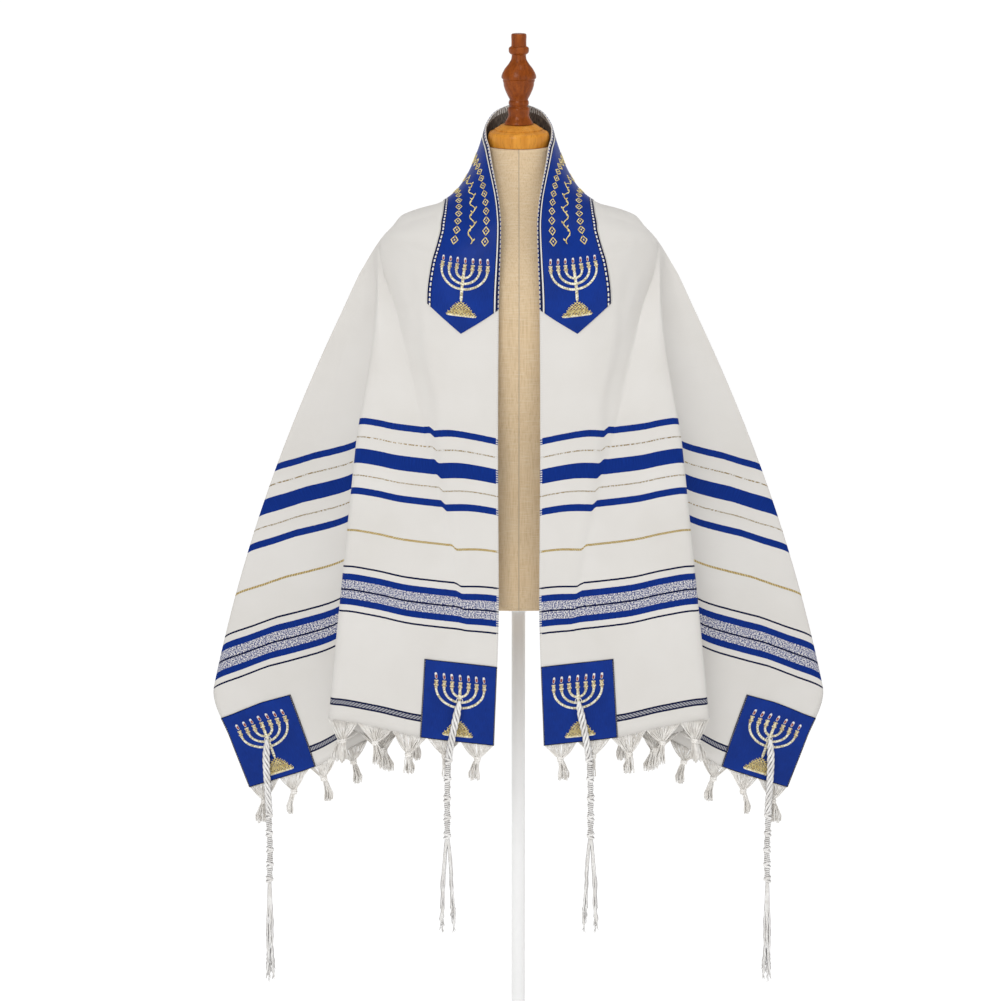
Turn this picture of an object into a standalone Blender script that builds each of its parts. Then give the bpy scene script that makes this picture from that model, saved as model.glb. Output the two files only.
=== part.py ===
# Tallit prayer shawl resting on the shoulders of a limbless dress form.
# Metres, +Z up, the front faces -Y, and the origin is on the floor under the middle of the form.
# "out" is the distance from the middle plane, "back" is +Y and "up" is +Z.
# The cloth is described flat first: u runs along its length from a fringed end, 0 to the middle
# of the back, and v runs across it from the neck edge. The shoulder point is where it is carried.
import math

import bmesh
import bpy
import numpy as np
from mathutils import Matrix, Vector

# Cloth sizes
CLOTH_LENGTH = 1.830
CLOTH_WIDTH = 0.559
HALF_LENGTH = CLOTH_LENGTH / 2
CLOTH_WALL = 0.0012
TRIM_WALL = 0.0010
SEAM_GAP = 0.0003
PATCH_WIDTH = 0.095
PATCH_HEIGHT = 0.100
BAND_WIDTH = 0.095
BAND_CORNER_U = 0.555
BAND_TIP_U = 0.519

# Where the shoulder point lies, flat on the cloth and in space
SHOULDER_U = 0.638
SHOULDER_V = 0.185
SHOULDER = np.array([0.181, 0.000, 1.296])
SHOULDER_NORMAL = np.array([0.66, 0.0, 0.75])
SHOULDER_DOWN = np.array([0.75, 0.0, -0.66])
SHOULDER_ROUND = 0.045
SHOULDER_RADIUS = 0.070
SHOULDER_SINK = 0.004
SHOULDER_FLAT_ANGLE = math.radians(51)

# How far from the shoulder, as a share of the way to the edge, the folds open
DEPTH_OPENS = 0.10
FOLD_STARTS = 0.10
FOLD_OPENS = 0.35
REST_MARGIN = 0.0052

# The cloth's four edges. Columns: along the edge, out, back, up, hang (1 is straight, more
# drops over the body first), dip towards the body, belly outwards, and 1 for a fold line
BOTTOM_EDGE = [
    (0.000, 0.032, -0.128, 0.642, 4.0, 0.000, 0.000, 0),  # inner corner
    (0.095, 0.128, -0.127, 0.653, 4.0, 0.000, 0.000, 0),  # patch side
    (0.150, 0.186, -0.124, 0.666, 4.0, 0.000, 0.000, 0),
    (0.205, 0.237, -0.118, 0.674, 4.0, 0.000, 0.000, 1),
    (0.218, 0.244, -0.111, 0.674, 4.0, 0.000, 0.000, 1),  # front crease
    (0.230, 0.238, -0.104, 0.672, 4.0, 0.000, 0.000, 1),
    (0.268, 0.195, -0.100, 0.651, 4.0, 0.000, 0.000, 1),  # layer turned under
    (0.308, 0.140, -0.096, 0.664, 4.0, 0.000, 0.000, 1),
    (0.318, 0.133, -0.089, 0.666, 4.0, 0.000, 0.000, 1),  # hidden crease
    (0.328, 0.140, -0.082, 0.662, 3.8, 0.000, 0.000, 1),
    (0.368, 0.180, -0.080, 0.648, 3.4, 0.000, 0.000, 1),
    (0.415, 0.223, -0.076, 0.629, 3.0, 0.000, 0.000, 0),  # wing comes into view
    (0.464, 0.266, -0.062, 0.603, 2.5, 0.000, 0.004, 0),  # patch side
    (0.511, 0.311, -0.046, 0.585, 2.0, 0.000, 0.010, 0),
    (0.559, 0.357, -0.028, 0.568, 1.5, 0.000, 0.016, 0),  # outer corner
]
OUTER_EDGE = [
    (0.000, 0.357, -0.028, 0.568, 1.5, 0.000, 0.016, 0),  # outer corner
    (0.070, 0.383, -0.013, 0.630, 1.2, 0.000, 0.018, 0),
    (0.140, 0.407, 0.004, 0.693, 1.0, 0.000, 0.020, 0),  # tip of the wing
    (0.165, 0.398, 0.012, 0.716, 1.0, 0.000, 0.019, 0),
    (0.230, 0.336, 0.025, 0.753, 1.0, 0.000, 0.014, 1),
    (0.305, 0.275, 0.031, 0.800, 1.0, 0.000, 0.006, 1),  # first trough
    (0.360, 0.297, 0.054, 0.847, 1.1, 0.000, 0.010, 1),
    (0.417, 0.311, 0.078, 0.888, 1.2, 0.000, 0.014, 0),  # first flute
    (0.465, 0.262, 0.073, 0.900, 1.3, 0.000, 0.008, 1),
    (0.512, 0.216, 0.072, 0.912, 1.5, 0.000, 0.000, 1),  # second trough
    (0.552, 0.236, 0.106, 0.932, 1.7, 0.000, 0.006, 1),
    (0.592, 0.248, 0.136, 0.949, 1.8, 0.000, 0.010, 0),  # second flute
    (0.640, 0.209, 0.118, 0.940, 2.2, 0.000, 0.004, 1),
    (0.690, 0.168, 0.107, 0.932, 2.6, 0.000, 0.000, 0),
    (0.750, 0.128, 0.137, 0.928, 3.0, 0.000, 0.000, 1),  # soft back fold
    (0.805, 0.088, 0.111, 0.925, 3.0, 0.000, 0.000, 0),
    (0.860, 0.046, 0.137, 0.923, 3.0, 0.000, 0.000, 1),  # soft back fold
    (0.915, 0.000, 0.114, 0.922, 3.0, 0.000, 0.000, 0),  # middle of the back
]
BACK_EDGE = [
    (0.000, 0.000, 0.055, 1.471, 1.5, 0.060, 0.000, 0),  # top of the neckband
    (0.095, 0.000, 0.074, 1.380, 1.8, 0.012, 0.000, 0),  # foot of the neckband
    (0.150, 0.000, 0.094, 1.330, 2.0, 0.000, 0.000, 0),
    (0.250, 0.000, 0.113, 1.231, 2.5, 0.000, 0.000, 0),
    (0.400, 0.000, 0.117, 1.081, 3.0, 0.000, 0.000, 0),
    (0.559, 0.000, 0.114, 0.922, 3.0, 0.000, 0.000, 0),
]
NECK_EDGE = [
    (0.000, 0.032, -0.128, 0.642, 4.0, 0.000, 0.000, 0),  # inner corner
    (0.185, 0.026, -0.128, 0.832, 4.0, 0.000, 0.000, 0),
    (0.376, 0.027, -0.126, 1.026, 3.5, 0.000, 0.000, 0),
    (0.553, 0.026, -0.119, 1.203, 3.0, 0.000, 0.000, 0),
    (0.664, 0.023, -0.100, 1.310, 2.0, 0.003, 0.000, 0),
    (0.694, 0.025, -0.087, 1.337, 1.8, 0.006, 0.000, 0),
    (0.762, 0.035, -0.051, 1.391, 1.5, 0.018, 0.000, 0),
    (0.816, 0.041, -0.010, 1.428, 1.3, 0.036, 0.000, 0),
    (0.835, 0.043, 0.008, 1.438, 1.2, 0.044, 0.000, 0),  # side of the neck
    (0.854, 0.040, 0.025, 1.446, 1.3, 0.050, 0.000, 0),
    (0.875, 0.031, 0.040, 1.458, 1.4, 0.055, 0.000, 0),
    (0.895, 0.017, 0.050, 1.466, 1.5, 0.058, 0.000, 0),
    (0.915, 0.000, 0.055, 1.471, 1.5, 0.060, 0.000, 0),  # middle of the back
]
EDGE_SPACING = 0.052

# The cloth is pulled askew where it stands up the neck. Columns: along the cloth, extra
# distance across and along it, both at the foot of the neckband
NECK_SKEW = [
    (0.420, 0.000, 0.000),
    (0.520, 0.014, -0.011),
    (0.560, 0.014, -0.014),
    (0.610, 0.007, -0.005),
    (0.660, -0.005, 0.000),
    (0.750, -0.021, 0.000),
    (0.800, -0.016, 0.000),
    (0.860, -0.008, 0.000),
    (0.915, 0.000, 0.000),
]
NECK_SKEW_WIDTH = 0.200
RING_SHARES = (0.05, 0.13, 0.23, 0.36, 0.51, 0.67, 0.84, 1.0)

# Dress form. Columns: height, half width, half depth
TORSO_RINGS = [
    (0.813, 0.140, 0.098),
    (0.850, 0.141, 0.101),
    (0.930, 0.137, 0.098),
    (1.010, 0.143, 0.100),
    (1.100, 0.158, 0.108),
    (1.170, 0.169, 0.112),
    (1.225, 0.176, 0.109),
    (1.262, 0.179, 0.100),
    (1.285, 0.175, 0.090),
    (1.300, 0.164, 0.083),
    (1.310, 0.150, 0.078),
    (1.318, 0.133, 0.074),
    (1.327, 0.112, 0.069),
    (1.339, 0.091, 0.063),
    (1.350, 0.072, 0.058),
    (1.368, 0.059, 0.052),
    (1.390, 0.049, 0.046),
    (1.414, 0.0405, 0.0405),
]
TORSO_POWER = 2.2
TORSO_SIDES = 28
NECK_TOP = 1.414
NECK_TILT = math.radians(8)
TILT_STARTS = 1.350

# Turned pieces above the neck. Columns: radius, height above the neck's top
CAP_PROFILE = [
    (0.0000, 0.0280),
    (0.0240, 0.0280),
    (0.0290, 0.0245),
    (0.0330, 0.0215),
    (0.0370, 0.0190),
    (0.0400, 0.0140),
    (0.0406, 0.0085),
    (0.0400, 0.0003),
    (0.0000, 0.0003),
]
FINIAL_PROFILE = [
    (0.0000, 0.1460),
    (0.0090, 0.1450),
    (0.0100, 0.1420),
    (0.0100, 0.1290),
    (0.0132, 0.1270),
    (0.0132, 0.1210),
    (0.0092, 0.1190),
    (0.0094, 0.1165),
    (0.0180, 0.1010),
    (0.0228, 0.0905),
    (0.0228, 0.0880),
    (0.0202, 0.0860),
    (0.0202, 0.0835),
    (0.0180, 0.0735),
    (0.0115, 0.0600),
    (0.0132, 0.0580),
    (0.0132, 0.0535),
    (0.0115, 0.0515),
    (0.0145, 0.0490),
    (0.0145, 0.0450),
    (0.0140, 0.0400),
    (0.0190, 0.0300),
    (0.0190, 0.0283),
    (0.0000, 0.0283),
]

# Stand
BASE_RADIUS = 0.165
BASE_HEIGHT = 0.010
BASE_BEVEL = 0.003
POLE_RADIUS = 0.009
SOCKET_RADIUS = 0.026
SOCKET_HEIGHT = 0.012

# Fringe
TASSELS = 13
LOCK_WIDTH = 0.0095
LOCK_SPACE = 0.0016
STRIP_HEIGHT = 0.004
FRINGE_CLEARANCE = 0.0035
# Columns: drop below the strip, share of the spread kept, half width, half thickness
LOCK_SECTIONS = [
    (0.024, 0.200, 0.0012, 0.0011),
    (0.036, 0.230, 0.0013, 0.0012),
    (0.050, 0.340, 0.0017, 0.0013),
]

# Corner tassels of the law, tied through the patch's middle
HOLE_U = 0.052
HOLE_V = PATCH_WIDTH / 2
# The outer patch's flat faces lie this far behind its true curve at the hole
OUTER_FACE_SAG = 0.0007
# Columns: drop below the hole, sideways, radius
FRONT_CORD = [
    (0.000, 0.000, 0.0028),
    (0.020, 0.004, 0.0036),
    (0.050, 0.010, 0.0036),
    (0.077, 0.014, 0.0040),
    (0.090, 0.015, 0.0056),
    (0.104, 0.015, 0.0048),
    (0.130, 0.016, 0.0056),
    (0.150, 0.016, 0.0046),
    (0.170, 0.016, 0.0060),
    (0.178, 0.016, 0.0060),
]
OUTER_CORD = [
    (0.000, 0.000, 0.0028),
    (0.025, 0.000, 0.0034),
    (0.060, -0.001, 0.0036),
    (0.100, -0.003, 0.0042),
    (0.113, -0.003, 0.0056),
    (0.128, -0.003, 0.0048),
    (0.146, -0.004, 0.0056),
    (0.166, -0.003, 0.0046),
    (0.180, -0.003, 0.0060),
    (0.188, -0.003, 0.0060),
]
STRANDS = 8
STRAND_WIDTH = 0.0011
FRONT_STRAND_LENGTH = 0.122
OUTER_STRAND_LENGTH = 0.132
CORD_SIDES = 6

# Colours: red, green, blue, roughness, metallic
FINISHES = {
    "white cloth": (0.86, 0.85, 0.82, 0.75, 0.0),
    "blue satin": (0.010, 0.050, 0.330, 0.45, 0.0),
    "white thread": (0.88, 0.86, 0.83, 0.80, 0.0),
    "beige linen": (0.72, 0.60, 0.43, 0.85, 0.0),
    "golden wood": (0.72, 0.36, 0.08, 0.35, 0.0),
    "red brown wood": (0.36, 0.10, 0.02, 0.30, 0.0),
    "white painted steel": (0.90, 0.90, 0.90, 0.35, 0.0),
}


def clear_scene():
    for item in list(bpy.data.objects):
        bpy.data.objects.remove(item, do_unlink=True)


def new_collection(name):
    collection = bpy.data.collections.new(name)
    bpy.context.scene.collection.children.link(collection)
    return collection


def finish(name):
    material = bpy.data.materials.get(name)
    if material is None:
        material = bpy.data.materials.new(name)
        material.use_nodes = True
        red, green, blue, roughness, metallic = FINISHES[name]
        shader = material.node_tree.nodes["Principled BSDF"]
        shader.inputs["Base Color"].default_value = (red, green, blue, 1.0)
        shader.inputs["Roughness"].default_value = roughness
        shader.inputs["Metallic"].default_value = metallic
    return material


def add_object(name, mesh, collection, finish_name):
    item = bpy.data.objects.new(name, mesh)
    mesh.materials.append(finish(finish_name))
    collection.objects.link(item)
    return item


def mesh_from(name, points, faces):
    mesh = bpy.data.meshes.new(name)
    mesh.from_pydata([tuple(p) for p in points], [], [tuple(f) for f in faces])
    mesh.update()
    return mesh


def steady_curve(stops, values, at):
    """Cubic through the rows that never overshoots them: harmonic mean slopes."""
    stops = np.asarray(stops, float)
    values = np.asarray(values, float)
    step = np.diff(stops)[:, None]
    rise = np.diff(values, axis=0) / step
    slope = np.zeros_like(values)
    slope[0] = rise[0]
    slope[-1] = rise[-1]
    before, after = rise[:-1], rise[1:]
    same = before * after > 0
    total = np.where(same, before + after, 1.0)
    slope[1:-1] = np.where(same, 2 * before * after / total, 0.0)
    index = np.clip(np.searchsorted(stops, at, side="right") - 1, 0, len(stops) - 2)
    width = step[index]
    t = ((at - stops[index])[:, None]) / width
    near = values[index] * (2 * t**3 - 3 * t**2 + 1) + slope[index] * width * (t**3 - 2 * t**2 + t)
    far = values[index + 1] * (3 * t**2 - 2 * t**3) + slope[index + 1] * width * (t**3 - t**2)
    return near + far


def edge_values(table, at, keep_folds):
    rows = [row for row in table if keep_folds or not row[7]]
    return steady_curve([row[0] for row in rows], [row[1:7] for row in rows], at)


def ease(amount):
    amount = np.clip(amount, 0.0, 1.0)
    return amount * amount * (3 - 2 * amount)


def ring_at(height):
    """Half width and half depth of the form at a height, clamped at both ends."""
    rows = np.array(TORSO_RINGS)
    clamped = np.clip(height, rows[0, 0], rows[-1, 0])
    width = np.interp(clamped, rows[:, 0], rows[:, 1])
    depth = np.interp(clamped, rows[:, 0], rows[:, 2])
    return width, depth


def neck_lean(back, height):
    """The neck's rings lean forward: lower in front, higher behind."""
    share = ease((height - TILT_STARTS) / (NECK_TOP - TILT_STARTS))
    return back * math.tan(NECK_TILT) * share


def rest_on_form(points):
    """Moves cloth that would enter the form straight out of it, at the same height."""
    out, back, up = points.T
    level = up - neck_lean(back, up)
    width, depth = ring_at(level)
    width = width + REST_MARGIN
    depth = depth + REST_MARGIN
    inside = (np.abs(out) / width) ** TORSO_POWER + (np.abs(back) / depth) ** TORSO_POWER
    reach = np.maximum(inside, 1e-6) ** (1 / TORSO_POWER)
    covered = (level > TORSO_RINGS[0][0] - 0.02) & (level < TORSO_RINGS[-1][0] + 0.03)
    push = np.where(covered & (reach < 1), 1 / reach, 1.0)
    return np.column_stack([out * push, back * push, up])


def drape(u, v):
    """Place of flat cloth points on the left half, as out, back and up.

    Every point lies on a line from the shoulder point to the cloth's edge. The edge is a
    smooth curve through its table. Along the line the cloth first drops over the body
    (hang), dips towards the shoulder (dip) or swells outwards (belly)."""
    u = np.asarray(u, float)
    v = np.asarray(v, float)
    skew = np.array(NECK_SKEW)
    shift = steady_curve(skew[:, 0], skew[:, 1:], np.clip(u, skew[0, 0], skew[-1, 0]))
    shift = shift * np.sin(np.pi * np.clip(v / NECK_SKEW_WIDTH, 0, 1))[:, None]
    u = u + shift[:, 1]
    v = v + shift[:, 0]
    along = u - SHOULDER_U
    across = v - SHOULDER_V
    tiny = 1e-9
    along = np.where(np.abs(along) < tiny, tiny, along)
    across = np.where(np.abs(across) < tiny, tiny, across)
    to_end = np.where(along < 0, -SHOULDER_U / along, (HALF_LENGTH - SHOULDER_U) / along)
    to_side = np.where(across > 0, (CLOTH_WIDTH - SHOULDER_V) / across, -SHOULDER_V / across)
    stretch = np.minimum(to_end, to_side)
    share = np.minimum(1 / stretch, 1.0)
    edge_u = np.clip(SHOULDER_U + along * stretch, 0, HALF_LENGTH)
    edge_v = np.clip(SHOULDER_V + across * stretch, 0, CLOTH_WIDTH)
    reach = np.hypot(edge_u - SHOULDER_U, edge_v - SHOULDER_V)
    at_end = to_end <= to_side
    choices = [
        (at_end & (along < 0), BOTTOM_EDGE, edge_v),
        (at_end & (along > 0), BACK_EDGE, edge_v),
        (~at_end & (across > 0), OUTER_EDGE, edge_u),
        (~at_end & (across < 0), NECK_EDGE, edge_u),
    ]
    folded = np.zeros((len(u), 6))
    smooth = np.zeros((len(u), 6))
    for chosen, table, position in choices:
        if chosen.any():
            folded[chosen] = edge_values(table, position[chosen], True)
            smooth[chosen] = edge_values(table, position[chosen], False)
    fold = ease((share - FOLD_STARTS) / FOLD_OPENS)[:, None]
    depth = ease(share / DEPTH_OPENS)
    edge = smooth + fold * (folded - smooth)
    edge_back = smooth[:, 1] + depth * (folded[:, 1] - smooth[:, 1])
    hang, dip, belly = edge[:, 3], edge[:, 4], edge[:, 5]
    lead = edge[:, 0] - SHOULDER[0]
    run = edge_back - SHOULDER[1]
    rise = edge[:, 2] - SHOULDER[2]
    over = 1 - (1 - share) ** hang
    lag = 0.45 * (hang - 1) ** 1.2 * 0.55 * (run / reach) ** 2
    fall = (share - lag * (1 - (1 - share) ** (hang + 1))) / (1 - lag)
    hollow = 8.11 * share**2.5 * (1 - share)
    out = SHOULDER[0] + lead * share + belly * 4 * share * (1 - share)
    back = SHOULDER[1] + run * over
    up = SHOULDER[2] + rise * fall - dip * hollow
    cone = np.column_stack([out, back, up])

    radius = np.hypot(along, across)
    angle = np.arctan2(across, -along) - SHOULDER_FLAT_ANGLE
    dome = SHOULDER - SHOULDER_NORMAL * SHOULDER_SINK
    dome = dome + (radius * np.cos(angle))[:, None] * SHOULDER_DOWN
    dome = dome + (radius * np.sin(angle))[:, None] * np.array([0.0, 1.0, 0.0])
    dome = dome - (radius**2 / (2 * SHOULDER_RADIUS))[:, None] * SHOULDER_NORMAL
    near = np.exp(-((radius / SHOULDER_ROUND) ** 2))[:, None]
    return rest_on_form(cone * (1 - near) + dome * near)


def edge_stops(table):
    """The table's places along an edge, with more where they are far apart."""
    places = [row[0] for row in table]
    stops = [places[0]]
    for start, end in zip(places[:-1], places[1:]):
        pieces = max(1, math.ceil((end - start) / EDGE_SPACING))
        stops += [start + (end - start) * (i + 1) / pieces for i in range(pieces)]
    return stops


def flat_outline():
    outline = [(0.0, v) for v in edge_stops(BOTTOM_EDGE)]
    outline += [(u, CLOTH_WIDTH) for u in edge_stops(OUTER_EDGE)[1:]]
    outline += [(HALF_LENGTH, v) for v in edge_stops(BACK_EDGE)[-2::-1]]
    outline += [(u, 0.0) for u in edge_stops(NECK_EDGE)[-2:0:-1]]
    return outline


def score(pattern, point, direction, allowed):
    """Cuts the flat pattern's faces along a line where a trim's edge will lie."""
    faces = [f for f in pattern.faces if allowed(f.calc_center_median())]
    edges = {e for f in faces for e in f.edges}
    verts = {p for f in faces for p in f.verts}
    bmesh.ops.bisect_plane(
        pattern,
        geom=list(verts) + list(edges) + faces,
        dist=0.0004,
        plane_co=(point[0], point[1], 0.0),
        plane_no=(-direction[1], direction[0], 0.0),
    )


def flat_pattern():
    """Half of the cloth, flat: rings of faces round the shoulder point, scored for the trims."""
    pattern = bmesh.new()
    outline = flat_outline()
    middle = pattern.verts.new((SHOULDER_U, SHOULDER_V, 0.0))
    rings = []
    for share in RING_SHARES:
        ring = []
        for u, v in outline:
            place = (
                SHOULDER_U + (u - SHOULDER_U) * share,
                SHOULDER_V + (v - SHOULDER_V) * share,
                0.0,
            )
            ring.append(pattern.verts.new(place))
        rings.append(ring)
    count = len(outline)
    for i in range(count):
        j = (i + 1) % count
        pattern.faces.new((middle, rings[0][i], rings[0][j]))
        for inner, outer in zip(rings[:-1], rings[1:]):
            pattern.faces.new((inner[i], outer[i], outer[j], inner[j]))
    reach = 0.060
    score(pattern, (0, BAND_WIDTH), (1, 0), lambda c: c.y < BAND_WIDTH + reach)
    score(
        pattern,
        (0, CLOTH_WIDTH - PATCH_WIDTH),
        (1, 0),
        lambda c: c.x < PATCH_HEIGHT + reach and c.y > CLOTH_WIDTH - PATCH_WIDTH - reach,
    )
    score(
        pattern,
        (PATCH_HEIGHT, 0),
        (0, 1),
        lambda c: c.x < PATCH_HEIGHT + reach and c.y < BAND_WIDTH,
    )
    score(
        pattern,
        (PATCH_HEIGHT, 0),
        (0, 1),
        lambda c: c.x < PATCH_HEIGHT + reach and c.y > CLOTH_WIDTH - PATCH_WIDTH,
    )
    slant = BAND_CORNER_U - BAND_TIP_U
    score(
        pattern,
        (BAND_CORNER_U, 0),
        (-slant, BAND_WIDTH / 2),
        lambda c: abs(c.x - BAND_TIP_U) < 2 * reach and c.y < BAND_WIDTH,
    )
    score(
        pattern,
        (BAND_CORNER_U, BAND_WIDTH),
        (-slant, -BAND_WIDTH / 2),
        lambda c: abs(c.x - BAND_TIP_U) < 2 * reach and c.y < BAND_WIDTH,
    )
    bmesh.ops.triangulate(pattern, faces=pattern.faces[:])
    return pattern


def wrap_cloth(pattern):
    """Both halves in space as one surface: points, faces and each face's flat middle."""
    pattern.verts.index_update()
    flat = np.array([p.co[:2] for p in pattern.verts])
    faces = [[p.index for p in f.verts] for f in pattern.faces]
    half = drape(flat[:, 0], flat[:, 1])
    left = half * np.array([-1.0, 1.0, 1.0])
    joined = {}
    for index, (u, _) in enumerate(flat):
        if u > HALF_LENGTH - 1e-6:
            left[index, 0] = 0.0
            half[index, 0] = 0.0
            joined[index] = index
    points = list(left)
    for index in range(len(flat)):
        if index not in joined:
            joined[index] = len(points)
            points.append(half[index])
    both = [tuple(f) for f in faces]
    both += [tuple(joined[i] for i in reversed(f)) for f in faces]
    middles = [flat[f].mean(axis=0) for f in faces]
    sides = ["left"] * len(faces) + ["right"] * len(faces)
    return np.array(points), both, np.array(middles + middles), sides


def surface_normals(points, faces):
    triangles = points[np.array(faces)]
    turn = np.cross(triangles[:, 1] - triangles[:, 0], triangles[:, 2] - triangles[:, 0])
    normals = np.zeros_like(points)
    for corner in range(3):
        np.add.at(normals, np.array(faces)[:, corner], turn)
    return normals / np.linalg.norm(normals, axis=1)[:, None]


def wall_from(name, points, faces, normals, lift, wall, collection, finish_name):
    """A wall on chosen faces of the cloth, its middle lifted along the cloth's normals."""
    used = sorted({i for f in faces for i in f})
    place = {old: new for new, old in enumerate(used)}
    middle = points[used] + normals[used] * lift
    count = len(used)
    top = middle + normals[used] * wall / 2
    under = middle - normals[used] * wall / 2
    front = [tuple(place[i] for i in f) for f in faces]
    rear = [tuple(place[i] + count for i in reversed(f)) for f in faces]
    directed = {(f[i], f[(i + 1) % 3]) for f in front for i in range(3)}
    rim = []
    for start, end in directed:
        if (end, start) not in directed:
            rim.append((end, start, start + count, end + count))
    mesh = mesh_from(name, np.vstack([top, under]), front + rear + sorted(rim))
    return add_object(name, mesh, collection, finish_name)


def in_band(flat):
    slope = (BAND_CORNER_U - BAND_TIP_U) / (BAND_WIDTH / 2)
    border = BAND_TIP_U + slope * abs(flat[1] - BAND_WIDTH / 2)
    return flat[1] < BAND_WIDTH and flat[0] > border


def in_front_patch(flat):
    return flat[0] < PATCH_HEIGHT and flat[1] < PATCH_WIDTH


def in_outer_patch(flat):
    return flat[0] < PATCH_HEIGHT and flat[1] > CLOTH_WIDTH - PATCH_WIDTH


def make_cloth(collection):
    pattern = flat_pattern()
    points, faces, middles, sides = wrap_cloth(pattern)
    pattern.free()
    normals = surface_normals(points, faces)
    front = np.argmin(points[:, 1])
    if normals[front, 1] > 0:
        faces = [tuple(reversed(f)) for f in faces]
        normals = -normals
    wall_from("shawl", points, faces, normals, 0.0, CLOTH_WALL, collection, "white cloth")
    lift = CLOTH_WALL / 2 + SEAM_GAP + TRIM_WALL / 2
    band = [f for f, flat in zip(faces, middles) if in_band(flat)]
    wall_from("neckband", points, band, normals, lift, TRIM_WALL, collection, "blue satin")
    for name, test in (("patch_front", in_front_patch), ("patch_outer", in_outer_patch)):
        for side in ("left", "right"):
            chosen = [f for f, flat, s in zip(faces, middles, sides) if s == side and test(flat)]
            piece = f"{name}_{side}"
            wall_from(piece, points, chosen, normals, lift, TRIM_WALL, collection, "blue satin")


def cloth_frame(u, v):
    """Point, face direction and direction towards the fringe, on the left half."""
    nudge = 0.001
    here = drape(u, v)
    ahead = drape(u + nudge, v)
    beside = drape(u, np.minimum(v + nudge, CLOTH_WIDTH))
    before = drape(u, np.maximum(v - nudge, 0))
    down = here - ahead
    down /= np.linalg.norm(down, axis=1)[:, None]
    face = np.cross(down, beside - before)
    face /= np.linalg.norm(face, axis=1)[:, None]
    return here, face, down


def fringe_slots():
    """Stops along the fringed edge, and which stretches carry a lock and for which tassel.

    The cloth's own stops are kept so that strip and cloth bend at the same places; a lock
    that would straddle one is trimmed to its longer part."""
    cloth_stops = edge_stops(BOTTOM_EDGE)
    pitch = CLOTH_WIDTH / TASSELS
    spread = 3 * LOCK_WIDTH + 2 * LOCK_SPACE
    stops = set(cloth_stops)
    spans = []
    for tassel in range(TASSELS):
        for lock in range(3):
            start = pitch * (tassel + 0.5) - spread / 2 + lock * (LOCK_WIDTH + LOCK_SPACE)
            end = start + LOCK_WIDTH
            for place in cloth_stops:
                if start < place < end:
                    if place - start > end - place:
                        end = place
                    else:
                        start = place
            stops |= {start, end}
            spans.append((start, tassel, lock - 1))
    ordered = sorted(stops)
    return np.array(ordered), [(ordered.index(s), tassel, lock) for s, tassel, lock in spans]


def make_fringe(side, collection):
    """A narrow strip along the cloth's end with three flat locks for each tassel."""
    stops, locks = fringe_slots()
    cloth_stops = np.array(edge_stops(BOTTOM_EDGE))
    corner, corner_face, corner_down = cloth_frame(np.zeros_like(cloth_stops), cloth_stops)
    here = np.column_stack([np.interp(stops, cloth_stops, axis) for axis in corner.T])
    face = np.column_stack([np.interp(stops, cloth_stops, axis) for axis in corner_face.T])
    down = np.column_stack([np.interp(stops, cloth_stops, axis) for axis in corner_down.T])
    face /= np.linalg.norm(face, axis=1)[:, None]
    half = CLOTH_WALL / 2
    top = here + down * SEAM_GAP
    foot = here + down * (SEAM_GAP + STRIP_HEIGHT)
    rows = [top + face * half, top - face * half, foot - face * half, foot + face * half]
    points = [p for i in range(len(stops)) for p in (row[i] for row in rows)]
    faces = []
    carried = {slot: (tassel, lock) for slot, tassel, lock in locks}
    for i in range(len(stops) - 1):
        a, b = 4 * i, 4 * (i + 1)
        for corner in range(4):
            if corner == 2 and i in carried:
                continue
            after = (corner + 1) % 4
            faces.append((a + corner, b + corner, b + after, a + after))
    last = 4 * (len(stops) - 1)
    faces.append((0, 1, 2, 3))
    faces.append((last + 3, last + 2, last + 1, last))
    pitch = CLOTH_WIDTH / TASSELS
    middles = pitch * (np.arange(TASSELS) + 0.5)
    knots, _, _ = cloth_frame(np.zeros(TASSELS), middles)
    for slot, (tassel, lock) in carried.items():
        a, b = 4 * slot, 4 * (slot + 1)
        loop = [a + 3, b + 3, b + 2, a + 2]
        root = (np.array(points[a + 2]) + points[b + 2] + points[a + 3] + points[b + 3]) / 4
        side_way = np.array(points[b + 3]) - points[a + 3]
        side_way[2] = 0.0
        side_way /= np.linalg.norm(side_way)
        thick_way = np.cross(side_way, np.array([0.0, 0.0, 1.0]))
        if np.dot(thick_way, face[slot]) < 0:
            thick_way = -thick_way
        spread = np.dot(root - knots[tassel], side_way)
        for drop, kept, width, thick in LOCK_SECTIONS:
            centre = root + np.array([0.0, 0.0, -drop - 0.002 * (tassel % 3)])
            centre = centre - side_way * spread + side_way * lock * LOCK_WIDTH * kept * 1.6
            start = len(points)
            points.append(centre - side_way * width + thick_way * thick)
            points.append(centre + side_way * width + thick_way * thick)
            points.append(centre + side_way * width - thick_way * thick)
            points.append(centre - side_way * width - thick_way * thick)
            for corner in range(4):
                after = (corner + 1) % 4
                faces.append((loop[corner], loop[after], start + after, start + corner))
            loop = [start, start + 1, start + 2, start + 3]
        faces.append(tuple(reversed(loop)))
    place = np.array(points)
    if side == "left":
        place = place * np.array([-1.0, 1.0, 1.0])
    mesh = mesh_from(f"fringe_{side}", place, faces)
    face_outwards(mesh)
    return add_object(f"fringe_{side}", mesh, collection, "white thread")


def face_outwards(mesh):
    shape = bmesh.new()
    shape.from_mesh(mesh)
    bmesh.ops.recalc_face_normals(shape, faces=shape.faces[:])
    shape.to_mesh(mesh)
    shape.free()


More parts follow.
